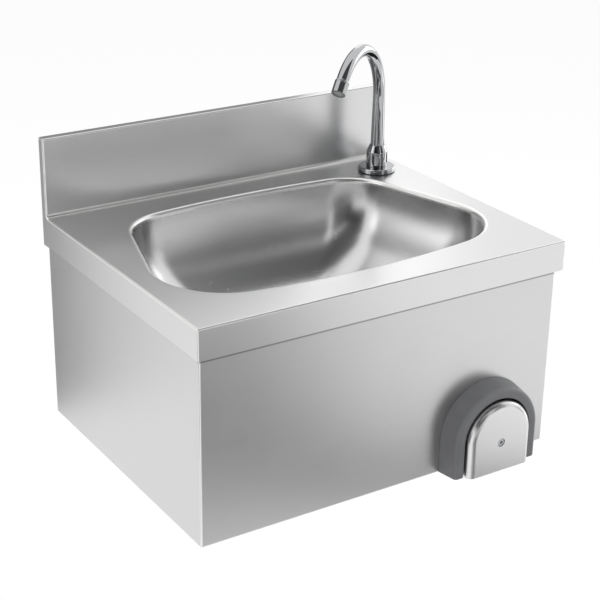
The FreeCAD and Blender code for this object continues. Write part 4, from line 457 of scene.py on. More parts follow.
def steel(name, grain, roughness, depth, greys=SHEET_GREYS, contours=0.0, edge=None):
    """Stainless steel. The grain is how often the brush lines repeat across and along it."""
    material, tree, shader = finish(name, greys[1], 1.0, roughness)
    across, along = grain
    brush = placed(tree, grain_group, Across=across, Along=along, Round=contours)
    lines, bands = brush.outputs
    film, scratches = placed(tree, marks_group).outputs
    # Painted highlight: this attribute makes the colour of folds brighter.
    painted_highlight = add(tree, "Attribute", attribute_name="painted_highlight").outputs["Fac"]
    tone_with_painted_light = maths(tree, "ADD", spread(tree, blended(tree, lines, bands, 0.8)), painted_highlight)
    # Painted shade: a dark line in the colour just under the apron's edge.
    if edge:
        painted_shade = maths(tree, "MULTIPLY", under_edge(tree, *edge), EDGE_SHADE)
        tone_with_painted_light = maths(tree, "SUBTRACT", tone_with_painted_light, painted_shade)
    tinted(tree, shader, tone_with_painted_light, *greys)
    span = (roughness * (1 - STEEL_WANDER), roughness * (1 + STEEL_WANDER))
    wander(tree, shader, blended(tree, bands, film, 0.5), span, scratches, 0.02)
    bumped(tree, shader, lines, depth)
    return material


SHEET_GRAIN = (5200.0, 28.0)
brushed_steel = steel("brushed_sheet_steel", SHEET_GRAIN, 0.30, 0.000005)
# Painted shade: the cabinet's steel is the sheet steel with darker greys.
shaded_panel_steel = steel(
    "brushed_steel_with_painted_shade", SHEET_GRAIN, 0.32, 0.000005, SHADED_PANEL_GREYS, edge=APRON_EDGE
)
pressed_steel = steel(
    "pressed_bowl_steel", (900.0, 8.0), 0.25, 0.0000006, BOWL_GREYS, contours=1.0
)
pad_steel = steel("satin_pad_steel", (5200.0, 60.0), 0.29, 0.000003)
for made in (brushed_steel, shaded_panel_steel, pressed_steel, pad_steel):
    print("steel finish:", made.name)

# %% [markdown]
# The tap is brass under polished chrome. Chrome is a mirror with a cold tint, so what makes it look
# right is its outline and what stands around it. A trace of film dulls the mirror here and there.

# %% Chrome, zinc, brass and drawn tube


def plated(name, dark, light, roughness, patch, depth=0.0, grain=None):
    """A plated or machined metal whose colour and roughness wander over slow patches."""
    material, tree, shader = finish(name, light, 1.0, roughness[0])
    film, scratches = placed(tree, marks_group, Patch=patch).outputs
    tinted(tree, shader, spread(tree, film), dark, light)
    wander(tree, shader, film, roughness, scratches, 0.05)
    if grain:
        lines, _ = placed(tree, grain_group, Across=grain[0], Along=grain[1]).outputs
        bumped(tree, shader, lines, depth)
    return material


chrome = plated("polished_chrome_plate", (0.46, 0.47, 0.48), (0.50, 0.51, 0.52), (0.02, 0.05), 12.0)
zinc = plated(
    "bright_zinc_plate", (0.50, 0.51, 0.53), (0.66, 0.67, 0.68), (0.28, 0.42), 240.0,
    0.000006, (2600.0, 900.0),
)
brass = plated(
    "machined_brass", (0.62, 0.48, 0.24), (0.76, 0.62, 0.35), (0.18, 0.34), 120.0,
    0.000006, (4200.0, 60.0),
)
drawn_tube = plated(
    "drawn_steel_tube", (0.52, 0.52, 0.53), (0.66, 0.66, 0.67), (0.20, 0.34), 60.0,
    0.000004, (3000.0, 40.0),
)
print("metals:", chrome.name, zinc.name, brass.name, drawn_tube.name)

# %% [markdown]
# The knee guard is moulded in a mid-grey plastic with a fine spark-eroded texture, which gives it a
# soft sheen and hides scuffs. Rubber is darker and duller, and its surface is a little uneven.

# %% Plastics and rubber
MOULD_TINT, MOULD_WANDER = 0.08, 0.12
MOULD_PATCH = 30.0


def moulded(name, colour, roughness, cell, depth):
    """A moulded material: one even colour, a fine texture from the mould and a faint bloom."""
    material, tree, shader = finish(name, colour, 0.0, roughness)
    film, scratches = placed(tree, marks_group, Patch=MOULD_PATCH).outputs
    dark = tuple(c * (1 - MOULD_TINT) for c in colour)
    light = tuple(c * (1 + MOULD_TINT) for c in colour)
    tinted(tree, shader, spread(tree, film), dark, light)
    span = (roughness * (1 - MOULD_WANDER), roughness * (1 + MOULD_WANDER))
    wander(tree, shader, film, span, scratches, 0.08, "SUBTRACT")
    where = add(tree, "TexCoord").outputs["Object"]
    bumped(tree, shader, noise(tree, where, cell, detail=3.0), depth)
    return material


grey_plastic = moulded("moulded_grey_plastic", (0.195, 0.197, 0.206), 0.38, 2600.0, 0.00003)
white_plastic = moulded("moulded_white_plastic", (0.78, 0.78, 0.77), 0.40, 2400.0, 0.00001)
black_rubber = moulded("moulded_black_rubber", (0.022, 0.022, 0.022), 0.62, 1800.0, 0.00003)
print("moulded:", grey_plastic.name, white_plastic.name, black_rubber.name)

# %% The slots of the CAD model and their finishes
FINISHES_OF = {
    "brushed_stainless": (brushed_steel, shaded_panel_steel, pressed_steel, pad_steel),
    "polished_chrome": (chrome,), "grey_plastic": (grey_plastic,), "zinc_fastener": (zinc,),
    "brass": (brass,), "bent_pipe": (drawn_tube,), "black_rubber": (black_rubber,),
    "white_plastic": (white_plastic,),
}
print("slots:", ", ".join(FINISHES_OF))

# %% [markdown]
# ## Tools for the pieces
#
# Most pieces are made from a few shapes: a profile turned round an axis, a profile pushed along a
# line, a flat face with holes, and edges softened by a bevel. Real folded and turned metal has no
# perfectly sharp edge, and the thin highlight on each small round is what makes it look solid.

# %% Shaping helpers
QUARTER = math.pi / 2
TIGHT = 1e-6
SHARP = math.radians(32.0)
FLAT_ENOUGH = 0.998
SHADING_WEIGHT = 90


def points_in(bm, points):
    """An open chain of vertices and edges through points given in millimetres."""
    verts = [bm.verts.new(Vector(p) * MM) for p in points]
    edges = [bm.edges.new(pair) for pair in zip(verts, verts[1:])]
    return verts, edges


def shift(bm, verts, vec):
    """Moves vertices by a vector in millimetres."""
    bmesh.ops.translate(bm, verts=verts, vec=[part * MM for part in vec])


def weld(bm):
    bmesh.ops.remove_doubles(bm, verts=bm.verts, dist=TIGHT)


def outward(bm):
    bmesh.ops.recalc_face_normals(bm, faces=bm.faces)


def new_verts(made):
    """The vertices among the things that an operator made."""
    return [g for g in made["geom"] if isinstance(g, bmesh.types.BMVert)]


def turned(bm, outline, steps=96):
    """Turns an outline of (radius, height) round the Z axis."""
    verts, edges = points_in(bm, [(r, 0, h) for r, h in outline])
    bmesh.ops.spin(
        bm, geom=verts + edges, cent=(0, 0, 0), axis=(0, 0, 1), angle=2 * math.pi, steps=steps,
        use_merge=True, use_duplicate=False,
    )
    weld(bm)


def soften(bm, width, segments=3, angle=30.0, where=None):
    """Rounds every edge that is sharper than an angle, or only those that pass a test."""
    limit = math.radians(angle)
    edges = [
        e for e in bm.edges
        if len(e.link_faces) == 2 and e.calc_face_angle(0) > limit and (where is None or where(e))
    ]
    bmesh.ops.bevel(
        bm, geom=edges, offset=width * MM, offset_type="OFFSET", segments=segments, profile=0.5,
        affect="EDGES", material=-1, clamp_overlap=True,
    )


def middle_of(edge):
    """The middle of an edge, in millimetres."""
    return (edge.verts[0].co + edge.verts[1].co) / 2 / MM


def open_edges_at(bm, level):
    """The edges at a height that have a face on one side only."""
    return [
        e for e in bm.edges
        if len(e.link_faces) == 1 and all(abs(v.co.z / MM - level) < 0.01 for v in e.verts)
    ]


def loop_of(verts):
    """The edges between neighbours in a ring of vertices."""
    pairs = zip(verts, verts[1:] + verts[:1])
    return [next(e for e in a.link_edges if e.other_vert(a) == b) for a, b in pairs]


def facing(centre, direction):
    """A pose in millimetres that turns the Z axis of a piece to a direction."""
    turn = Vector(direction).to_track_quat("Z", "Y").to_matrix().to_4x4()
    return Matrix.Translation(Vector(centre) * MM) @ turn


def ring_at(bm, radius, centre, steps, normal=(0, 0, 1)):
    """A ring of vertices and edges, for a hole in a flat face."""
    return bmesh.ops.create_circle(
        bm, segments=steps, radius=radius * MM, matrix=facing(centre, normal)
    )["verts"]


def edges_within(verts):
    """Every edge whose two ends are both in a set of vertices."""
    chosen = set(verts)
    return list({e for v in verts for e in v.link_edges if e.other_vert(v) in chosen})


def fill(bm, edges, normal):
    bmesh.ops.triangle_fill(bm, edges=edges, use_beauty=True, use_dissolve=False, normal=normal)


def refill(bm, faces, rings, normal):
    """Takes flat faces out and fills their outline again round some rings, which become holes.

    The outline is noted as a seam, so that the shading of the flat face ends there.
    """
    border = {e for f in faces for e in f.edges if sum(g in faces for g in e.link_faces) == 1}
    for edge in border:
        edge.seam = True
    bmesh.ops.delete(bm, geom=faces, context="FACES_ONLY")
    edges = list(border) + [e for ring in rings for e in edges_within(ring)]
    fill(bm, edges, normal)


def finished(bm, name, material, node, body="sink", wall=None, highlight_on_folds=0.0):
    """Closes a piece: smooth shading, wall, finish and body, and hides the CAD node it stands for.

    Faces that lean out of the three main planes get a painted highlight level, which finishes
    add to their colour to make folds brighter.
    """
    weld(bm)
    painted_highlight = bm.faces.layers.float.new("painted_highlight")
    for face in bm.faces:
        face.smooth = True
        # Painted highlight: faces on folds get a level that brightens their colour.
        face[painted_highlight] = 0.0 if max(abs(part) for part in face.normal) > FLAT_ENOUGH else highlight_on_folds
    for edge in bm.edges:
        folded = len(edge.link_faces) == 2 and edge.calc_face_angle(0) > SHARP
        edge.smooth = not (folded or edge.seam or edge.is_boundary)
        edge.seam = False
    obj = object_of(bm, name)
    mesh = obj.data
    mesh.materials.append(material)
    if wall:
        solid = obj.modifiers.new("wall", "SOLIDIFY")
        solid.thickness = wall * MM
        solid.offset = -1
        solid.use_even_offset = True
    weighted = obj.modifiers.new("flat_faces", "WEIGHTED_NORMAL")
    weighted.keep_sharp = True
    weighted.weight = SHADING_WEIGHT
    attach(obj, body)
    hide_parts(node)
    print(name, len(mesh.vertices), "vertices on", body)
    return obj


# %% [markdown]
# ## The rim of the bowl
#
# The bowl's mouth is wider at the front than at the back, with a bowed front, a slightly bowed back
# and four generous corners. It could be drawn as a curve, but the lip, the deck and the bowl all
# need the same number of points round it. So the outline is walked once, at equal steps, and a
# plain circle of vertices is pulled onto it wherever a ring is needed.

# %% The rim's outline
RIM_STEPS = 208
RIM_FRONT, RIM_REAR = -344.5, -52.0
RIM_FRONT_HALF, RIM_REAR_HALF = 247.0, 174.0
RIM_FRONT_BOW, RIM_REAR_BOW = 34.0, 13.0
RIM_FRONT_CORNER, RIM_REAR_CORNER = 90.0, 72.0


def circle_of_bow(half, bow, peak):
    """Radius and centre of the arc that rises by a bow over a half chord, with its crown at peak."""
    radius = (half * half + bow * bow) / (2 * abs(bow))
    return radius, peak + math.copysign(radius, bow)


def corner_centres(arc_radius, arc_centre, line_point, line_normal, radius):
    """The two places for a corner that touches a big arc from inside and a straight side."""
    base = line_point + line_normal * radius
    along = Vector((-line_normal.y, line_normal.x))
    off = base - arc_centre
    reach = arc_radius - radius
    half_b = off.dot(along)
    inside = half_b * half_b - (off.length_squared - reach * reach)
    return [base + along * (-half_b + sign * math.sqrt(inside)) for sign in (-1, 1)]


def rim_corners():
    """The two corners on the right: big arc, corner arc, and the corner's two ends."""
    front_radius, front_centre = circle_of_bow(RIM_FRONT_HALF, RIM_FRONT_BOW, RIM_FRONT)
    rear_radius, rear_centre = circle_of_bow(RIM_REAR_HALF, -RIM_REAR_BOW, RIM_REAR)
    front_corner = Vector((RIM_FRONT_HALF, RIM_FRONT + RIM_FRONT_BOW))
    rear_corner = Vector((RIM_REAR_HALF, RIM_REAR - RIM_REAR_BOW))
    side = (front_corner - rear_corner).normalized()
    inward = Vector((side.y, -side.x))
    ends = []
    for radius, centre, corner, size in (
        (rear_radius, rear_centre, rear_corner, RIM_REAR_CORNER),
        (front_radius, front_centre, front_corner, RIM_FRONT_CORNER),
    ):
        big = Vector((0, centre))
        picks = corner_centres(radius, big, corner, inward, size)
        middle = min(picks, key=lambda p: (p - corner).length)
        on_arc = big + (middle - big).normalized() * radius
        ends.append((big, radius, middle, size, on_arc, middle - inward * size))
    return ends


def arc_between(centre, radius, start, stop, count=400):
    """Points on an arc, the short way from one point to another."""
    a = math.atan2(start.y - centre.y, start.x - centre.x)
    b = math.atan2(stop.y - centre.y, stop.x - centre.x)
    turn = (b - a + math.pi) % (2 * math.pi) - math.pi
    return [
        centre + Vector((math.cos(a + turn * i / count), math.sin(a + turn * i / count))) * radius
        for i in range(count + 1)
    ]


def rim_outline():
    """The whole rim as equally spaced points with their inward directions, in millimetres."""
    rear, front = rim_corners()
    half = arc_between(*rear[:2], Vector((0, RIM_REAR)), rear[4])
    half += arc_between(*rear[2:6])[1:]
    half += arc_between(*front[2:4], front[5], front[4])
    half += arc_between(*front[:2], front[4], Vector((0, RIM_FRONT)))[1:]
    path = half + [Vector((-p.x, p.y)) for p in reversed(half[1:-1])]
    lengths = [0.0]
    for a, b in zip(path, path[1:] + path[:1]):
        lengths.append(lengths[-1] + (b - a).length)
    total = lengths[-1]
    points = []
    at = 0
    closed = path + path[:1]
    for step in range(RIM_STEPS):
        want = total * step / RIM_STEPS
        while lengths[at + 1] < want:
            at += 1
        share = (want - lengths[at]) / (lengths[at + 1] - lengths[at])
        points.append(closed[at].lerp(closed[at + 1], share))
    inwards = []
    for step, point in enumerate(points):
        run = (points[(step + 1) % RIM_STEPS] - points[step - 1]).normalized()
        inwards.append(Vector((run.y, -run.x)))
    print("rim length", round(total, 1), "mm")
    return points, inwards


rim_points, rim_inwards = rim_outline()
rim_wide = max(p.x for p in rim_points)
print("mouth", round(2 * rim_wide, 1), "mm wide at", RIM_STEPS, "points")


def follow_rim(ring, inset=0.0, height=0.0):
    """Puts a ring of vertices on the rim's outline, drawn in by an inset."""
    for vert, point, inward in zip(ring, rim_points, rim_inwards):
        vert.co = (point + inward * inset).to_3d() * MM
        vert.co.z = height * MM
    return ring


def rim_ring(bm, inset=0.0, height=0.0):
    """A circle of vertices pulled onto the rim's outline, in the order of the outline's points."""
    ring = bmesh.ops.create_circle(bm, segments=RIM_STEPS, radius=1.0)["verts"]
    share = RIM_STEPS / (2 * math.pi)
    ring.sort(key=lambda v: round(math.atan2(v.co.x, v.co.y) * share) % RIM_STEPS)
    return follow_rim(ring, inset, height)


def next_ring(bm, ring):
    """Extrudes a ring of vertices and returns the new ring, in the same order."""
    fresh = set(new_verts(bmesh.ops.extrude_edge_only(bm, edges=loop_of(ring))))
    return [next(e.other_vert(v) for e in v.link_edges if e.other_vert(v) in fresh) for v in ring]


# %% [markdown]
# ## The worktop
#
# The worktop is one sheet, 1.2 mm thick: an upstand at the back, a deck, and aprons folded down at
# the front and the ends, with the corners welded and ground flush. The deck's mouth is pressed down
# into a rolled lip. The block is pushed along X from its end view, its folds are rounded, and its
# flat faces are filled again round the holes. A wall of the sheet's gauge goes on last, inwards.

# %% The folded block
GAUGE = 1.2
SMALL_STEPS, HOLE_STEPS = 32, 48
HALF_WIDTH, DEPTH = 250.0, 390.0
UPSTAND, UPSTAND_TOP = 13.0, 100.0
APRON = 37.5
COVE, BEND = 5.0, 2.0
# Painted highlight: how far the colour of folds is pushed brighter.
FOLD_PAINTED_HIGHLIGHT = 4.0
TAP = Vector((205.0, -62.0))
TAP_HOLE = 10.8
WALL_HOLE = 4.25
WALL_HOLES = [(-200.0, -20.0), (200.0, -20.0)]


def along_x(edge):
    a, b = (v.co for v in edge.verts)
    return abs(a.x - b.x) > abs(a.y - b.y) + abs(a.z - b.z)


def worktop_block(bm):
    verts, edges = points_in(bm, [(-HALF_WIDTH, y, z) for y, z in (
        (-DEPTH, -APRON), (-DEPTH, 0), (-UPSTAND, 0), (-UPSTAND, UPSTAND_TOP), (0, UPSTAND_TOP),
        (0, -APRON),
    )])
    edges.append(bm.edges.new((verts[-1], verts[0])))
    end = bmesh.ops.edgeloop_fill(bm, edges=edges)["faces"]
    shift(bm, new_verts(bmesh.ops.extrude_face_region(bm, geom=end)), (2 * HALF_WIDTH, 0, 0))
    outward(bm)

    def in_cove(edge):
        spot = middle_of(edge)
        return along_x(edge) and abs(spot.y + UPSTAND) < 0.1 and abs(spot.z) < 0.1

    soften(bm, COVE, segments=8, where=in_cove)
    soften(bm, BEND, segments=5, where=lambda e: middle_of(e).z > -APRON + 0.1)


bm = bmesh.new()
worktop_block(bm)
print("folded block", len(bm.faces), "faces")

# %% Mouth, lip and holes
LAND, LIP_ROLL, LIP_STEPS = 1.5, 5.0, 8
THROAT_DROP = 7.0
LARGE_FACE = 1e-3


def flat_faces(bm, axis, value, least=0.0):
    """The faces that lie flat at one place on an axis and are larger than a least area."""
    def lies_there(face):
        upright = abs(abs(face.normal[axis]) - 1) < 1e-4
        return upright and abs(face.calc_center_median()[axis] / MM - value) < 0.01

    return [f for f in bm.faces if lies_there(f) and f.calc_area() > least]


def press_lip(bm):
    """Rolls the deck's edge into the bowl: a flat land outside the rim, and a roll inside it."""
    ring = rim_ring(bm)
    land = follow_rim(next_ring(bm, ring), -LAND)
    for step in range(1, LIP_STEPS + 1):
        angle = QUARTER * step / LIP_STEPS
        sunk = -LIP_ROLL * (1 - math.cos(angle))
        ring = follow_rim(next_ring(bm, ring), LIP_ROLL * math.sin(angle), sunk)
    for vert in next_ring(bm, ring):
        vert.co.z = -THROAT_DROP * MM
    return land


deck = flat_faces(bm, 2, 0.0, LARGE_FACE)
land = press_lip(bm)
refill(bm, deck, [land, ring_at(bm, TAP_HOLE, (TAP.x, TAP.y, 0), HOLE_STEPS)], (0, 0, 1))
rear = flat_faces(bm, 1, 0.0, LARGE_FACE)
rings = [ring_at(bm, WALL_HOLE, (x, 0, z), SMALL_STEPS, (0, 1, 0)) for x, z in WALL_HOLES]
refill(bm, rear, rings, (0, 1, 0))
bmesh.ops.delete(bm, geom=flat_faces(bm, 2, -APRON), context="FACES")
weld(bm)
outward(bm)
finished(bm, "folded_worktop", brushed_steel, "worktop", wall=GAUGE, highlight_on_folds=FOLD_PAINTED_HIGHLIGHT)

# %% [markdown]
# ## The bowl
#
# The bowl is deep-drawn from one sheet, so its wall has no corner anywhere: it leaves the lip
# upright, and turns into the floor along a quarter of an ellipse, wider at the ends than at the front
# and the back. Rings are extruded down from the throat, each one drawn in about the middle, and the
# last ones close onto the round hole of the waste.

# %% Bowl
THROAT_INSET = LIP_ROLL
BOWL_DEPTH, FLOOR_INSET, SIDE_INSET = 130.0, 98.0, 150.0
WALL_STEPS, FLOOR_SHARES = 44, (0.4, 0.75, 1.0)
DRAIN = Vector((0.0, -198.0))
DRAIN_HOLE = 21.55


def make_bowl():
    bm = bmesh.new()
    ring = rim_ring(bm, THROAT_INSET, -THROAT_DROP)
    throat = [v.co.copy() for v in ring]
    left, right = min(c.x for c in throat), max(c.x for c in throat)
    front, rear = min(c.y for c in throat), max(c.y for c in throat)
    half_x, half_y = (right - left) / 2 / MM, (rear - front) / 2 / MM
    middle_y = (rear + front) / 2
    for step in range(1, WALL_STEPS + 1):
        angle = QUARTER * step / WALL_STEPS
        share = 1 - math.cos(angle)
        depth = THROAT_DROP + (BOWL_DEPTH - THROAT_DROP) * math.sin(angle)
        ring = next_ring(bm, ring)
        for vert, start in zip(ring, throat):
            vert.co.x = start.x * (1 - share * SIDE_INSET / half_x)
            vert.co.y = middle_y + (start.y - middle_y) * (1 - share * FLOOR_INSET / half_y)
            vert.co.z = -depth * MM
    floor_edge = [v.co.copy() for v in ring]
    for share in FLOOR_SHARES:
        ring = next_ring(bm, ring)
        for index, (vert, start) in enumerate(zip(ring, floor_edge)):
            turn = QUARTER - 2 * math.pi * index / RIM_STEPS
            hole = DRAIN + Vector((math.cos(turn), math.sin(turn))) * DRAIN_HOLE
            vert.co = start.lerp(Vector((hole.x * MM, hole.y * MM, start.z)), share)
    outward(bm)
    if sum(f.normal.z * f.calc_area() for f in bm.faces) < 0:
        bmesh.ops.reverse_faces(bm, faces=bm.faces)
    return bm


finished(make_bowl(), "pressed_bowl", pressed_steel, "bowl", wall=GAUGE)

# %% [markdown]
# ## The cabinet
#
# The cabinet is a box folded from the same sheet and open at the top, the back and the bottom, with
# narrow flanges turned in all round. A cube is stretched to its outside, its folds are rounded, the
# openings are cut, and the sheet gets its gauge inwards.

# %% Cabinet
CAB_SIDE, CAB_FRONT, CAB_REAR, CAB_FOOT, CAB_TOP = 244.0, -382.0, -1.2, -270.0, -1.2
TOP_FLANGE, FOOT_FLANGE, REAR_FLANGE, REAR_STRIP = 17.0, 15.0, 20.0, 38.0
LOWER_HOLES = [(-234.0, -235.0), (234.0, -235.0)]
KNEE = Vector((148.0, -225.0))
KNEE_AXIS = -230.5
BONNET_HOLE = 12.2


def window(bm, axis, level, inset, low, high):
    """A ring of four vertices in a flat face across an axis, at an inset from both sides."""
    side = CAB_SIDE - inset
    corners = ((-side, low), (side, low), (side, high), (-side, high))
    verts, _ = points_in(bm, [(x, level, v) if axis == 1 else (x, v, level) for x, v in corners])
    bm.edges.new((verts[-1], verts[0]))
    return verts


def make_cabinet():
    bm = bmesh.new()
    bmesh.ops.create_cube(bm, size=1.0)
    size = Vector((2 * CAB_SIDE, CAB_REAR - CAB_FRONT, CAB_TOP - CAB_FOOT)) * MM
    bmesh.ops.scale(bm, verts=bm.verts, vec=size)
    shift(bm, bm.verts, (0, (CAB_REAR + CAB_FRONT) / 2, (CAB_TOP + CAB_FOOT) / 2))
    soften(bm, BEND, segments=5)
    top = window(bm, 2, CAB_TOP, TOP_FLANGE, CAB_FRONT + TOP_FLANGE, CAB_REAR - BEND - GAUGE)
    foot = window(bm, 2, CAB_FOOT, FOOT_FLANGE, CAB_FRONT + FOOT_FLANGE, CAB_REAR - FOOT_FLANGE)
    back = window(bm, 1, CAB_REAR, REAR_FLANGE, CAB_FOOT + FOOT_FLANGE, CAB_TOP - REAR_STRIP)
    screw_holes = [
        ring_at(bm, WALL_HOLE, (x, CAB_REAR, z), SMALL_STEPS, (0, 1, 0))
        for x, z in WALL_HOLES + LOWER_HOLES
    ]
    bonnet = ring_at(bm, BONNET_HOLE, (KNEE.x, CAB_FRONT, KNEE_AXIS), HOLE_STEPS, (0, -1, 0))
    for axis, level, normal, holes in (
        (2, CAB_TOP, (0, 0, 1), [top]),
        (2, CAB_FOOT, (0, 0, -1), [foot]),
        (1, CAB_REAR, (0, 1, 0), [back] + screw_holes),
        (1, CAB_FRONT, (0, -1, 0), [bonnet]),
    ):
        refill(bm, flat_faces(bm, axis, level, LARGE_FACE), holes, normal)
    outward(bm)
    return bm


finished(
    make_cabinet(), "folded_cabinet", shaded_panel_steel, "cabinet", wall=GAUGE, highlight_on_folds=FOLD_PAINTED_HIGHLIGHT
)

# %% [markdown]
# ## The knee guard
#
# The guard is a moulded arch round the push pad, with a draft on its outside so that it leaves its
# mould, and a rounded front. Its section is turned half a turn round the arch's axis, and both ends
# of the arch are pushed straight down to the foot.

# %% Knee guard
ARCH_STEPS = 72
GUARD_BACK, GUARD_FRONT, GUARD_FOOT = -382.0, -410.0, -269.0
GUARD_R, GUARD_OPEN, GUARD_FLOOR = 65.5, 49.0, -385.0
GUARD_DRAFT = math.radians(9.0)
GUARD_ROUND, GUARD_EDGE = 4.3, 0.7


def arch_of(bm, section, foot, centre):
    """Turns a section of (radius, station) over an arch, and pushes its two ends down to a foot.

    Stations run along Y. The section is an open chain that starts or ends on the axis.
    """
    verts, edges = points_in(bm, [(r, y, 0) for r, y in section])
    bmesh.ops.spin(
        bm, geom=verts + edges, cent=(0, 0, 0), axis=(0, -1, 0), angle=math.pi,
        steps=ARCH_STEPS, use_merge=False, use_duplicate=False,
    )
    weld(bm)
    springing = [
        e for e in bm.edges if len(e.link_faces) == 1 and all(abs(v.co.z) < TIGHT for v in e.verts)
    ]
    pushed = bmesh.ops.extrude_edge_only(bm, edges=springing)
    shift(bm, new_verts(pushed), (0, 0, foot - centre.y))
    shift(bm, bm.verts, (centre.x, 0, centre.y))


def make_guard():
    bm = bmesh.new()
    front_r = GUARD_R - (GUARD_BACK - GUARD_FRONT) * math.tan(GUARD_DRAFT)
    arch_of(bm, [
        (0, GUARD_FLOOR), (GUARD_OPEN, GUARD_FLOOR), (GUARD_OPEN, GUARD_FRONT),
        (front_r, GUARD_FRONT), (GUARD_R, GUARD_BACK), (0, GUARD_BACK),
    ], GUARD_FOOT, KNEE)
    fill(bm, open_edges_at(bm, GUARD_FOOT), (0, 0, -1))
    outward(bm)

    def front_outer(edge):
        spot = middle_of(edge)
        radius = math.hypot(spot.x - KNEE.x, max(spot.z - KNEE.y, 0))
        in_front = abs(spot.y - GUARD_FRONT) < 0.1 and spot.z > GUARD_FOOT + 0.5
        return in_front and radius > GUARD_OPEN + 4

    soften(bm, GUARD_ROUND, segments=8, where=front_outer)
    soften(bm, GUARD_EDGE, angle=40)
    return bm


finished(make_guard(), "moulded_knee_guard", grey_plastic, "knee_guard")

# %% [markdown]
# ## The push pad and its screw
#
# The pad is pressed from stainless sheet: a flat face, a wide round over the arch and down both
# sides, and a straight foot. One screw in the middle holds it to the valve's stem. Both ride on the
# body that the knee pushes.

# %% Push pad
PAD_R, PAD_FRONT, PAD_REAR, PAD_FOOT = 46.5, -418.0, -393.3, -269.5
PAD_ROUND, PAD_EDGE = 8.5, 0.6
EYE = 5.3


def make_pad():
    bm = bmesh.new()
    arch_of(bm, [(0, PAD_FRONT), (PAD_R, PAD_FRONT), (PAD_R, PAD_REAR)], PAD_FOOT, KNEE)
    ends = {v for e in open_edges_at(bm, PAD_FOOT) for v in e.verts}
    bmesh.ops.contextual_create(bm, geom=list(ends))

    def face_front():
        """An open sheet has no inside, so its normals are checked against the face."""
        outward(bm)
        if flat_faces(bm, 1, PAD_FRONT)[0].normal.y > 0:
            bmesh.ops.reverse_faces(bm, faces=bm.faces)

    def over_the_arch(edge):
        spot = middle_of(edge)
        return abs(spot.y - PAD_FRONT) < 0.1 and spot.z > PAD_FOOT + 0.5

    face_front()
    soften(bm, PAD_ROUND, segments=12, where=over_the_arch)
    soften(bm, PAD_EDGE, angle=50)
    face = flat_faces(bm, 1, PAD_FRONT)
    eye = ring_at(bm, EYE, (KNEE.x, PAD_FRONT, KNEE_AXIS), HOLE_STEPS, (0, -1, 0))
    refill(bm, face, [eye], (0, -1, 0))
    face_front()
    return bm


finished(make_pad(), "pressed_push_pad", pad_steel, "push_pad", "knee_pad", wall=GAUGE)

# %% Pad screw
SHANK_R, HEAD_R, HEAD_BASE, HEAD_TOP, HEAD_CHAMFER = 2.0, 4.9, 6.3, 9.0, 0.6
SOCKET_RIM, SOCKET_WIDTH, SOCKET_DEPTH = 3.4, 4.2, 2.2
SCREW_FRONT = -417.7


def hex_socket(bm, height, width, depth):
    """Fills a round top at a height with a flat ring round a six-sided socket."""
    rim = open_edges_at(bm, height)
    ring = ring_at(bm, width / math.sqrt(3), (0, 0, height), 6)
    fill(bm, rim + edges_within(ring), (0, 0, 1))
    low = new_verts(bmesh.ops.extrude_edge_only(bm, edges=edges_within(ring)))
    shift(bm, low, (0, 0, -depth))
    bmesh.ops.contextual_create(bm, geom=low)


bm = bmesh.new()
turned(bm, [
    (0, 0), (SHANK_R, 0), (SHANK_R, HEAD_BASE), (HEAD_R, HEAD_BASE),
    (HEAD_R, HEAD_TOP - HEAD_CHAMFER), (HEAD_R - HEAD_CHAMFER, HEAD_TOP), (SOCKET_RIM, HEAD_TOP),
], steps=64)
hex_socket(bm, HEAD_TOP, SOCKET_WIDTH, SOCKET_DEPTH)
outward(bm)
soften(bm, 0.12, segments=2, angle=35)
pose = facing((KNEE.x, SCREW_FRONT + HEAD_TOP, KNEE_AXIS), (0, -1, 0))
bmesh.ops.transform(bm, verts=bm.verts, matrix=pose)
finished(bm, "pad_socket_screw", zinc, "pad_screw", "knee_pad")

# %% [markdown]
# The return spring stands between the valve's collar and the pad. A spring can't follow the pad as a
# rigid piece does: its rear end stays where it is and its coils close up. Here the coil is copied
# from the CAD model as it stands.

# %% Return spring
bm = bmesh.new()
bm.from_mesh(frame["nodes"]["return_spring"].data)
spring = finished(bm, "coil_return_spring", zinc, "return_spring")
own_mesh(spring)

# %% [markdown]
# ## The tap
#
# A flange hides the hole in the deck, a short body stands on it, and a cone closes over the swivel.
# The spout is one tube: straight up, then over a wide arc, and a short way down to the aerator. It
# turns about the body's axis, so it rides on a body of its own. The tube is a ring pushed up, spun
# round the arc and pushed on.

# %% Flange, body and collar
FLANGE_R, FLANGE_TOP, FLANGE_HOLE = 24.75, 7, 10.5


def upright(centre, outline, steps, *rounds):
    """A piece turned on an upright axis, with its edges softened in one or more rounds."""
    bm = bmesh.new()
    turned(bm, outline, steps)
    outward(bm)
    for options in rounds:
        soften(bm, **options)
    shift(bm, bm.verts, centre.to_3d())
    return bm


def flange_rim(edge):
    spot = middle_of(edge)
    return spot.z > FLANGE_TOP - 0.1 and math.hypot(*spot.xy) > 20


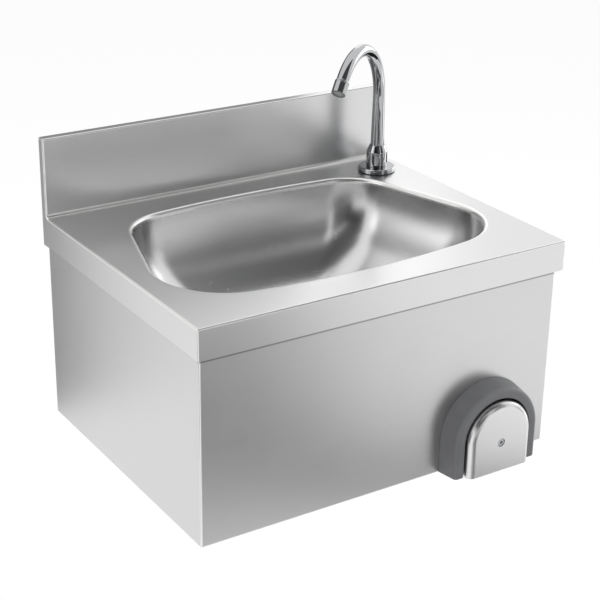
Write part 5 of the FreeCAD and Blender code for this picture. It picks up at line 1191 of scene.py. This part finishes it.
bm = upright(TAP, [
    (FLANGE_HOLE, 1), (FLANGE_R, 1), (FLANGE_R, FLANGE_TOP), (FLANGE_HOLE, FLANGE_TOP),
    (FLANGE_HOLE, 1),
], 128, {"width": 2.6, "segments": 8, "where": flange_rim}, {"width": 0.4})
finished(bm, "tap_base_flange", chrome, "tap_flange")
bm = upright(TAP, [
    (7.1, -45), (10.4, -45), (10.4, 7), (13.85, 7), (13.85, 24.9), (11, 24.9), (11, 30), (8.58, 30),
    (8.58, 8), (6, 8), (6, -30), (7.1, -30), (7.1, -45),
], 112, {"width": 0.45})
finished(bm, "tap_upright_body", chrome, "tap_body")
bm = upright(TAP, [
    (11.1, 25), (13.85, 25), (13.85, 26.8), (10, 36), (9.1, 36), (9.1, 31.6), (11.1, 31.6),
    (11.1, 25),
], 112, {"width": 0.4, "angle": 20})
finished(bm, "tap_cone_collar", chrome, "spout_collar")

# %% Spout
HEADING = math.radians(34.0)
ARC_R, SWEEP, ARC_STEPS = 76.0, math.radians(136.0), 80
TUBE_R, BASE_R, TUBE_START, STRAIGHT = 7.9, 9.0, 31.6, 102.0
TUBE_STEPS, TUBE_WALL = 64, 1.6
SLEEVE, TAPER_STEPS = 4.5, 12
TIP = 8.0


def swung(bm):
    """Turns a piece made with its spout along -X to the spout's heading, and puts it on the tap."""
    stand = Matrix.Translation((TAP.x * MM, TAP.y * MM, 0))
    turn = Matrix.Rotation(HEADING, 4, "Z")
    bmesh.ops.transform(bm, verts=bm.verts, matrix=stand @ turn)


def push_ring(bm, ring, vec, scale=1.0):
    """Extrudes a ring of edges along a vector, and scales its new end about its own middle."""
    verts = new_verts(bmesh.ops.extrude_edge_only(bm, edges=ring))
    shift(bm, verts, vec)
    middle = sum((v.co for v in verts), Vector()) / len(verts)
    bmesh.ops.scale(
        bm, verts=verts, vec=(scale, scale, scale), space=Matrix.Translation(-middle)
    )
    return edges_within(verts)


bm = bmesh.new()
ring = edges_within(ring_at(bm, BASE_R, (0, 0, TUBE_START), TUBE_STEPS))
ring = push_ring(bm, ring, (0, 0, SLEEVE))
rise = STRAIGHT - TUBE_START - SLEEVE
radius = BASE_R
for step in range(TAPER_STEPS):
    wanted = BASE_R + (TUBE_R - BASE_R) * (step + 1) / TAPER_STEPS
    ring = push_ring(bm, ring, (0, 0, rise / TAPER_STEPS), wanted / radius)
    radius = wanted
ends = bmesh.ops.spin(
    bm, geom=list({v for e in ring for v in e.verts}) + ring,
    cent=Vector((-ARC_R, 0, STRAIGHT)) * MM, axis=(0, -1, 0), angle=SWEEP, steps=ARC_STEPS,
    use_merge=False, use_duplicate=False,
)
last = [g for g in ends["geom_last"] if isinstance(g, bmesh.types.BMEdge)]
out = Vector((-math.sin(SWEEP), 0, math.cos(SWEEP)))
push_ring(bm, last, out * TIP)
outward(bm)
swung(bm)
finished(bm, "swan_neck_spout", chrome, "spout", "spout", wall=TUBE_WALL)

# %% Aerator
AERATOR_R, AERATOR_L, CAGE, AERATOR_BORE, OVERLAP = 9.1, 17.5, 7.6, 8.0, 6.0
arc_end = Vector((ARC_R * math.cos(SWEEP) - ARC_R, 0, STRAIGHT + ARC_R * math.sin(SWEEP)))
tip = arc_end + out * TIP
bm = bmesh.new()
turned(bm, [
    (AERATOR_BORE, 0), (AERATOR_R - 0.3, 0), (AERATOR_R, 1.1), (AERATOR_R, 1.9),
    (AERATOR_R - 0.45, 2.2), (AERATOR_R - 0.45, 3.0), (AERATOR_R, 3.4), (AERATOR_R, AERATOR_L),
    (CAGE - 1.2, AERATOR_L), (CAGE - 1.2, AERATOR_L - 1.2), (CAGE, AERATOR_L - 1.2), (CAGE, 6),
    (AERATOR_BORE, 6), (AERATOR_BORE, 0),
])
outward(bm)
soften(bm, 0.25, segments=2, angle=25)
bmesh.ops.transform(bm, verts=bm.verts, matrix=facing(tip - out * OVERLAP, out))
swung(bm)
finished(bm, "aerator_housing", chrome, "aerator_shell", "spout")

# %% [markdown]
# ## The waste
#
# A chromed flange lies on the bowl's floor over a seal, and its tail runs down through the nut that
# clamps it. The strainer with its slotted screw sits in the flange.

# %% Waste body
TAIL_BORE, TAIL_R, TAIL_END = 18.45, 20.95, -196
GROOVE_R, BAR, BAR_HEIGHT = 20.35, (39.0, 9.0, 6.0), -141.0
bm = upright(DRAIN, [
    (TAIL_BORE, TAIL_END), (TAIL_R, TAIL_END), (TAIL_R, -147.7), (GROOVE_R, -147.7),
    (GROOVE_R, -145.7), (TAIL_R, -145.7), (TAIL_R, -129), (32, -129), (32, -127.7),
    (30.4, -126.5), (TAIL_R, -126.5), (TAIL_R, -128), (TAIL_BORE, -128), (TAIL_BORE, TAIL_END),
], 112, {"width": 0.3, "angle": 25})
bar = bmesh.ops.create_cube(bm, size=1.0)["verts"]
bmesh.ops.scale(bm, verts=bar, vec=Vector(BAR) * MM)
shift(bm, bar, (DRAIN.x, DRAIN.y, BAR_HEIGHT))
finished(bm, "chromed_waste", chrome, "drain_body")

# %% [markdown]
# ## Everything behind
#
# The fasteners, seals, valve and pipe inside the cabinet are kept as the CAD made them, because
# they are plain turned and drilled parts. Each gets the first finish of its slot.

# %% Finishes on the kept CAD nodes
dressed = 0
for row in frame["record"]["subparts"]:
    node = frame["nodes"][row["node"]]
    for slot in node.material_slots:
        slot.material = FINISHES_OF[row["material_slot"]][0]
        dressed += 1
print("kept nodes dressed:", dressed)

# %% [markdown]
# ## Colour
#
# The Standard view shows a colour as it is written.

# %% Finish
scene.view_settings.view_transform = "Standard"
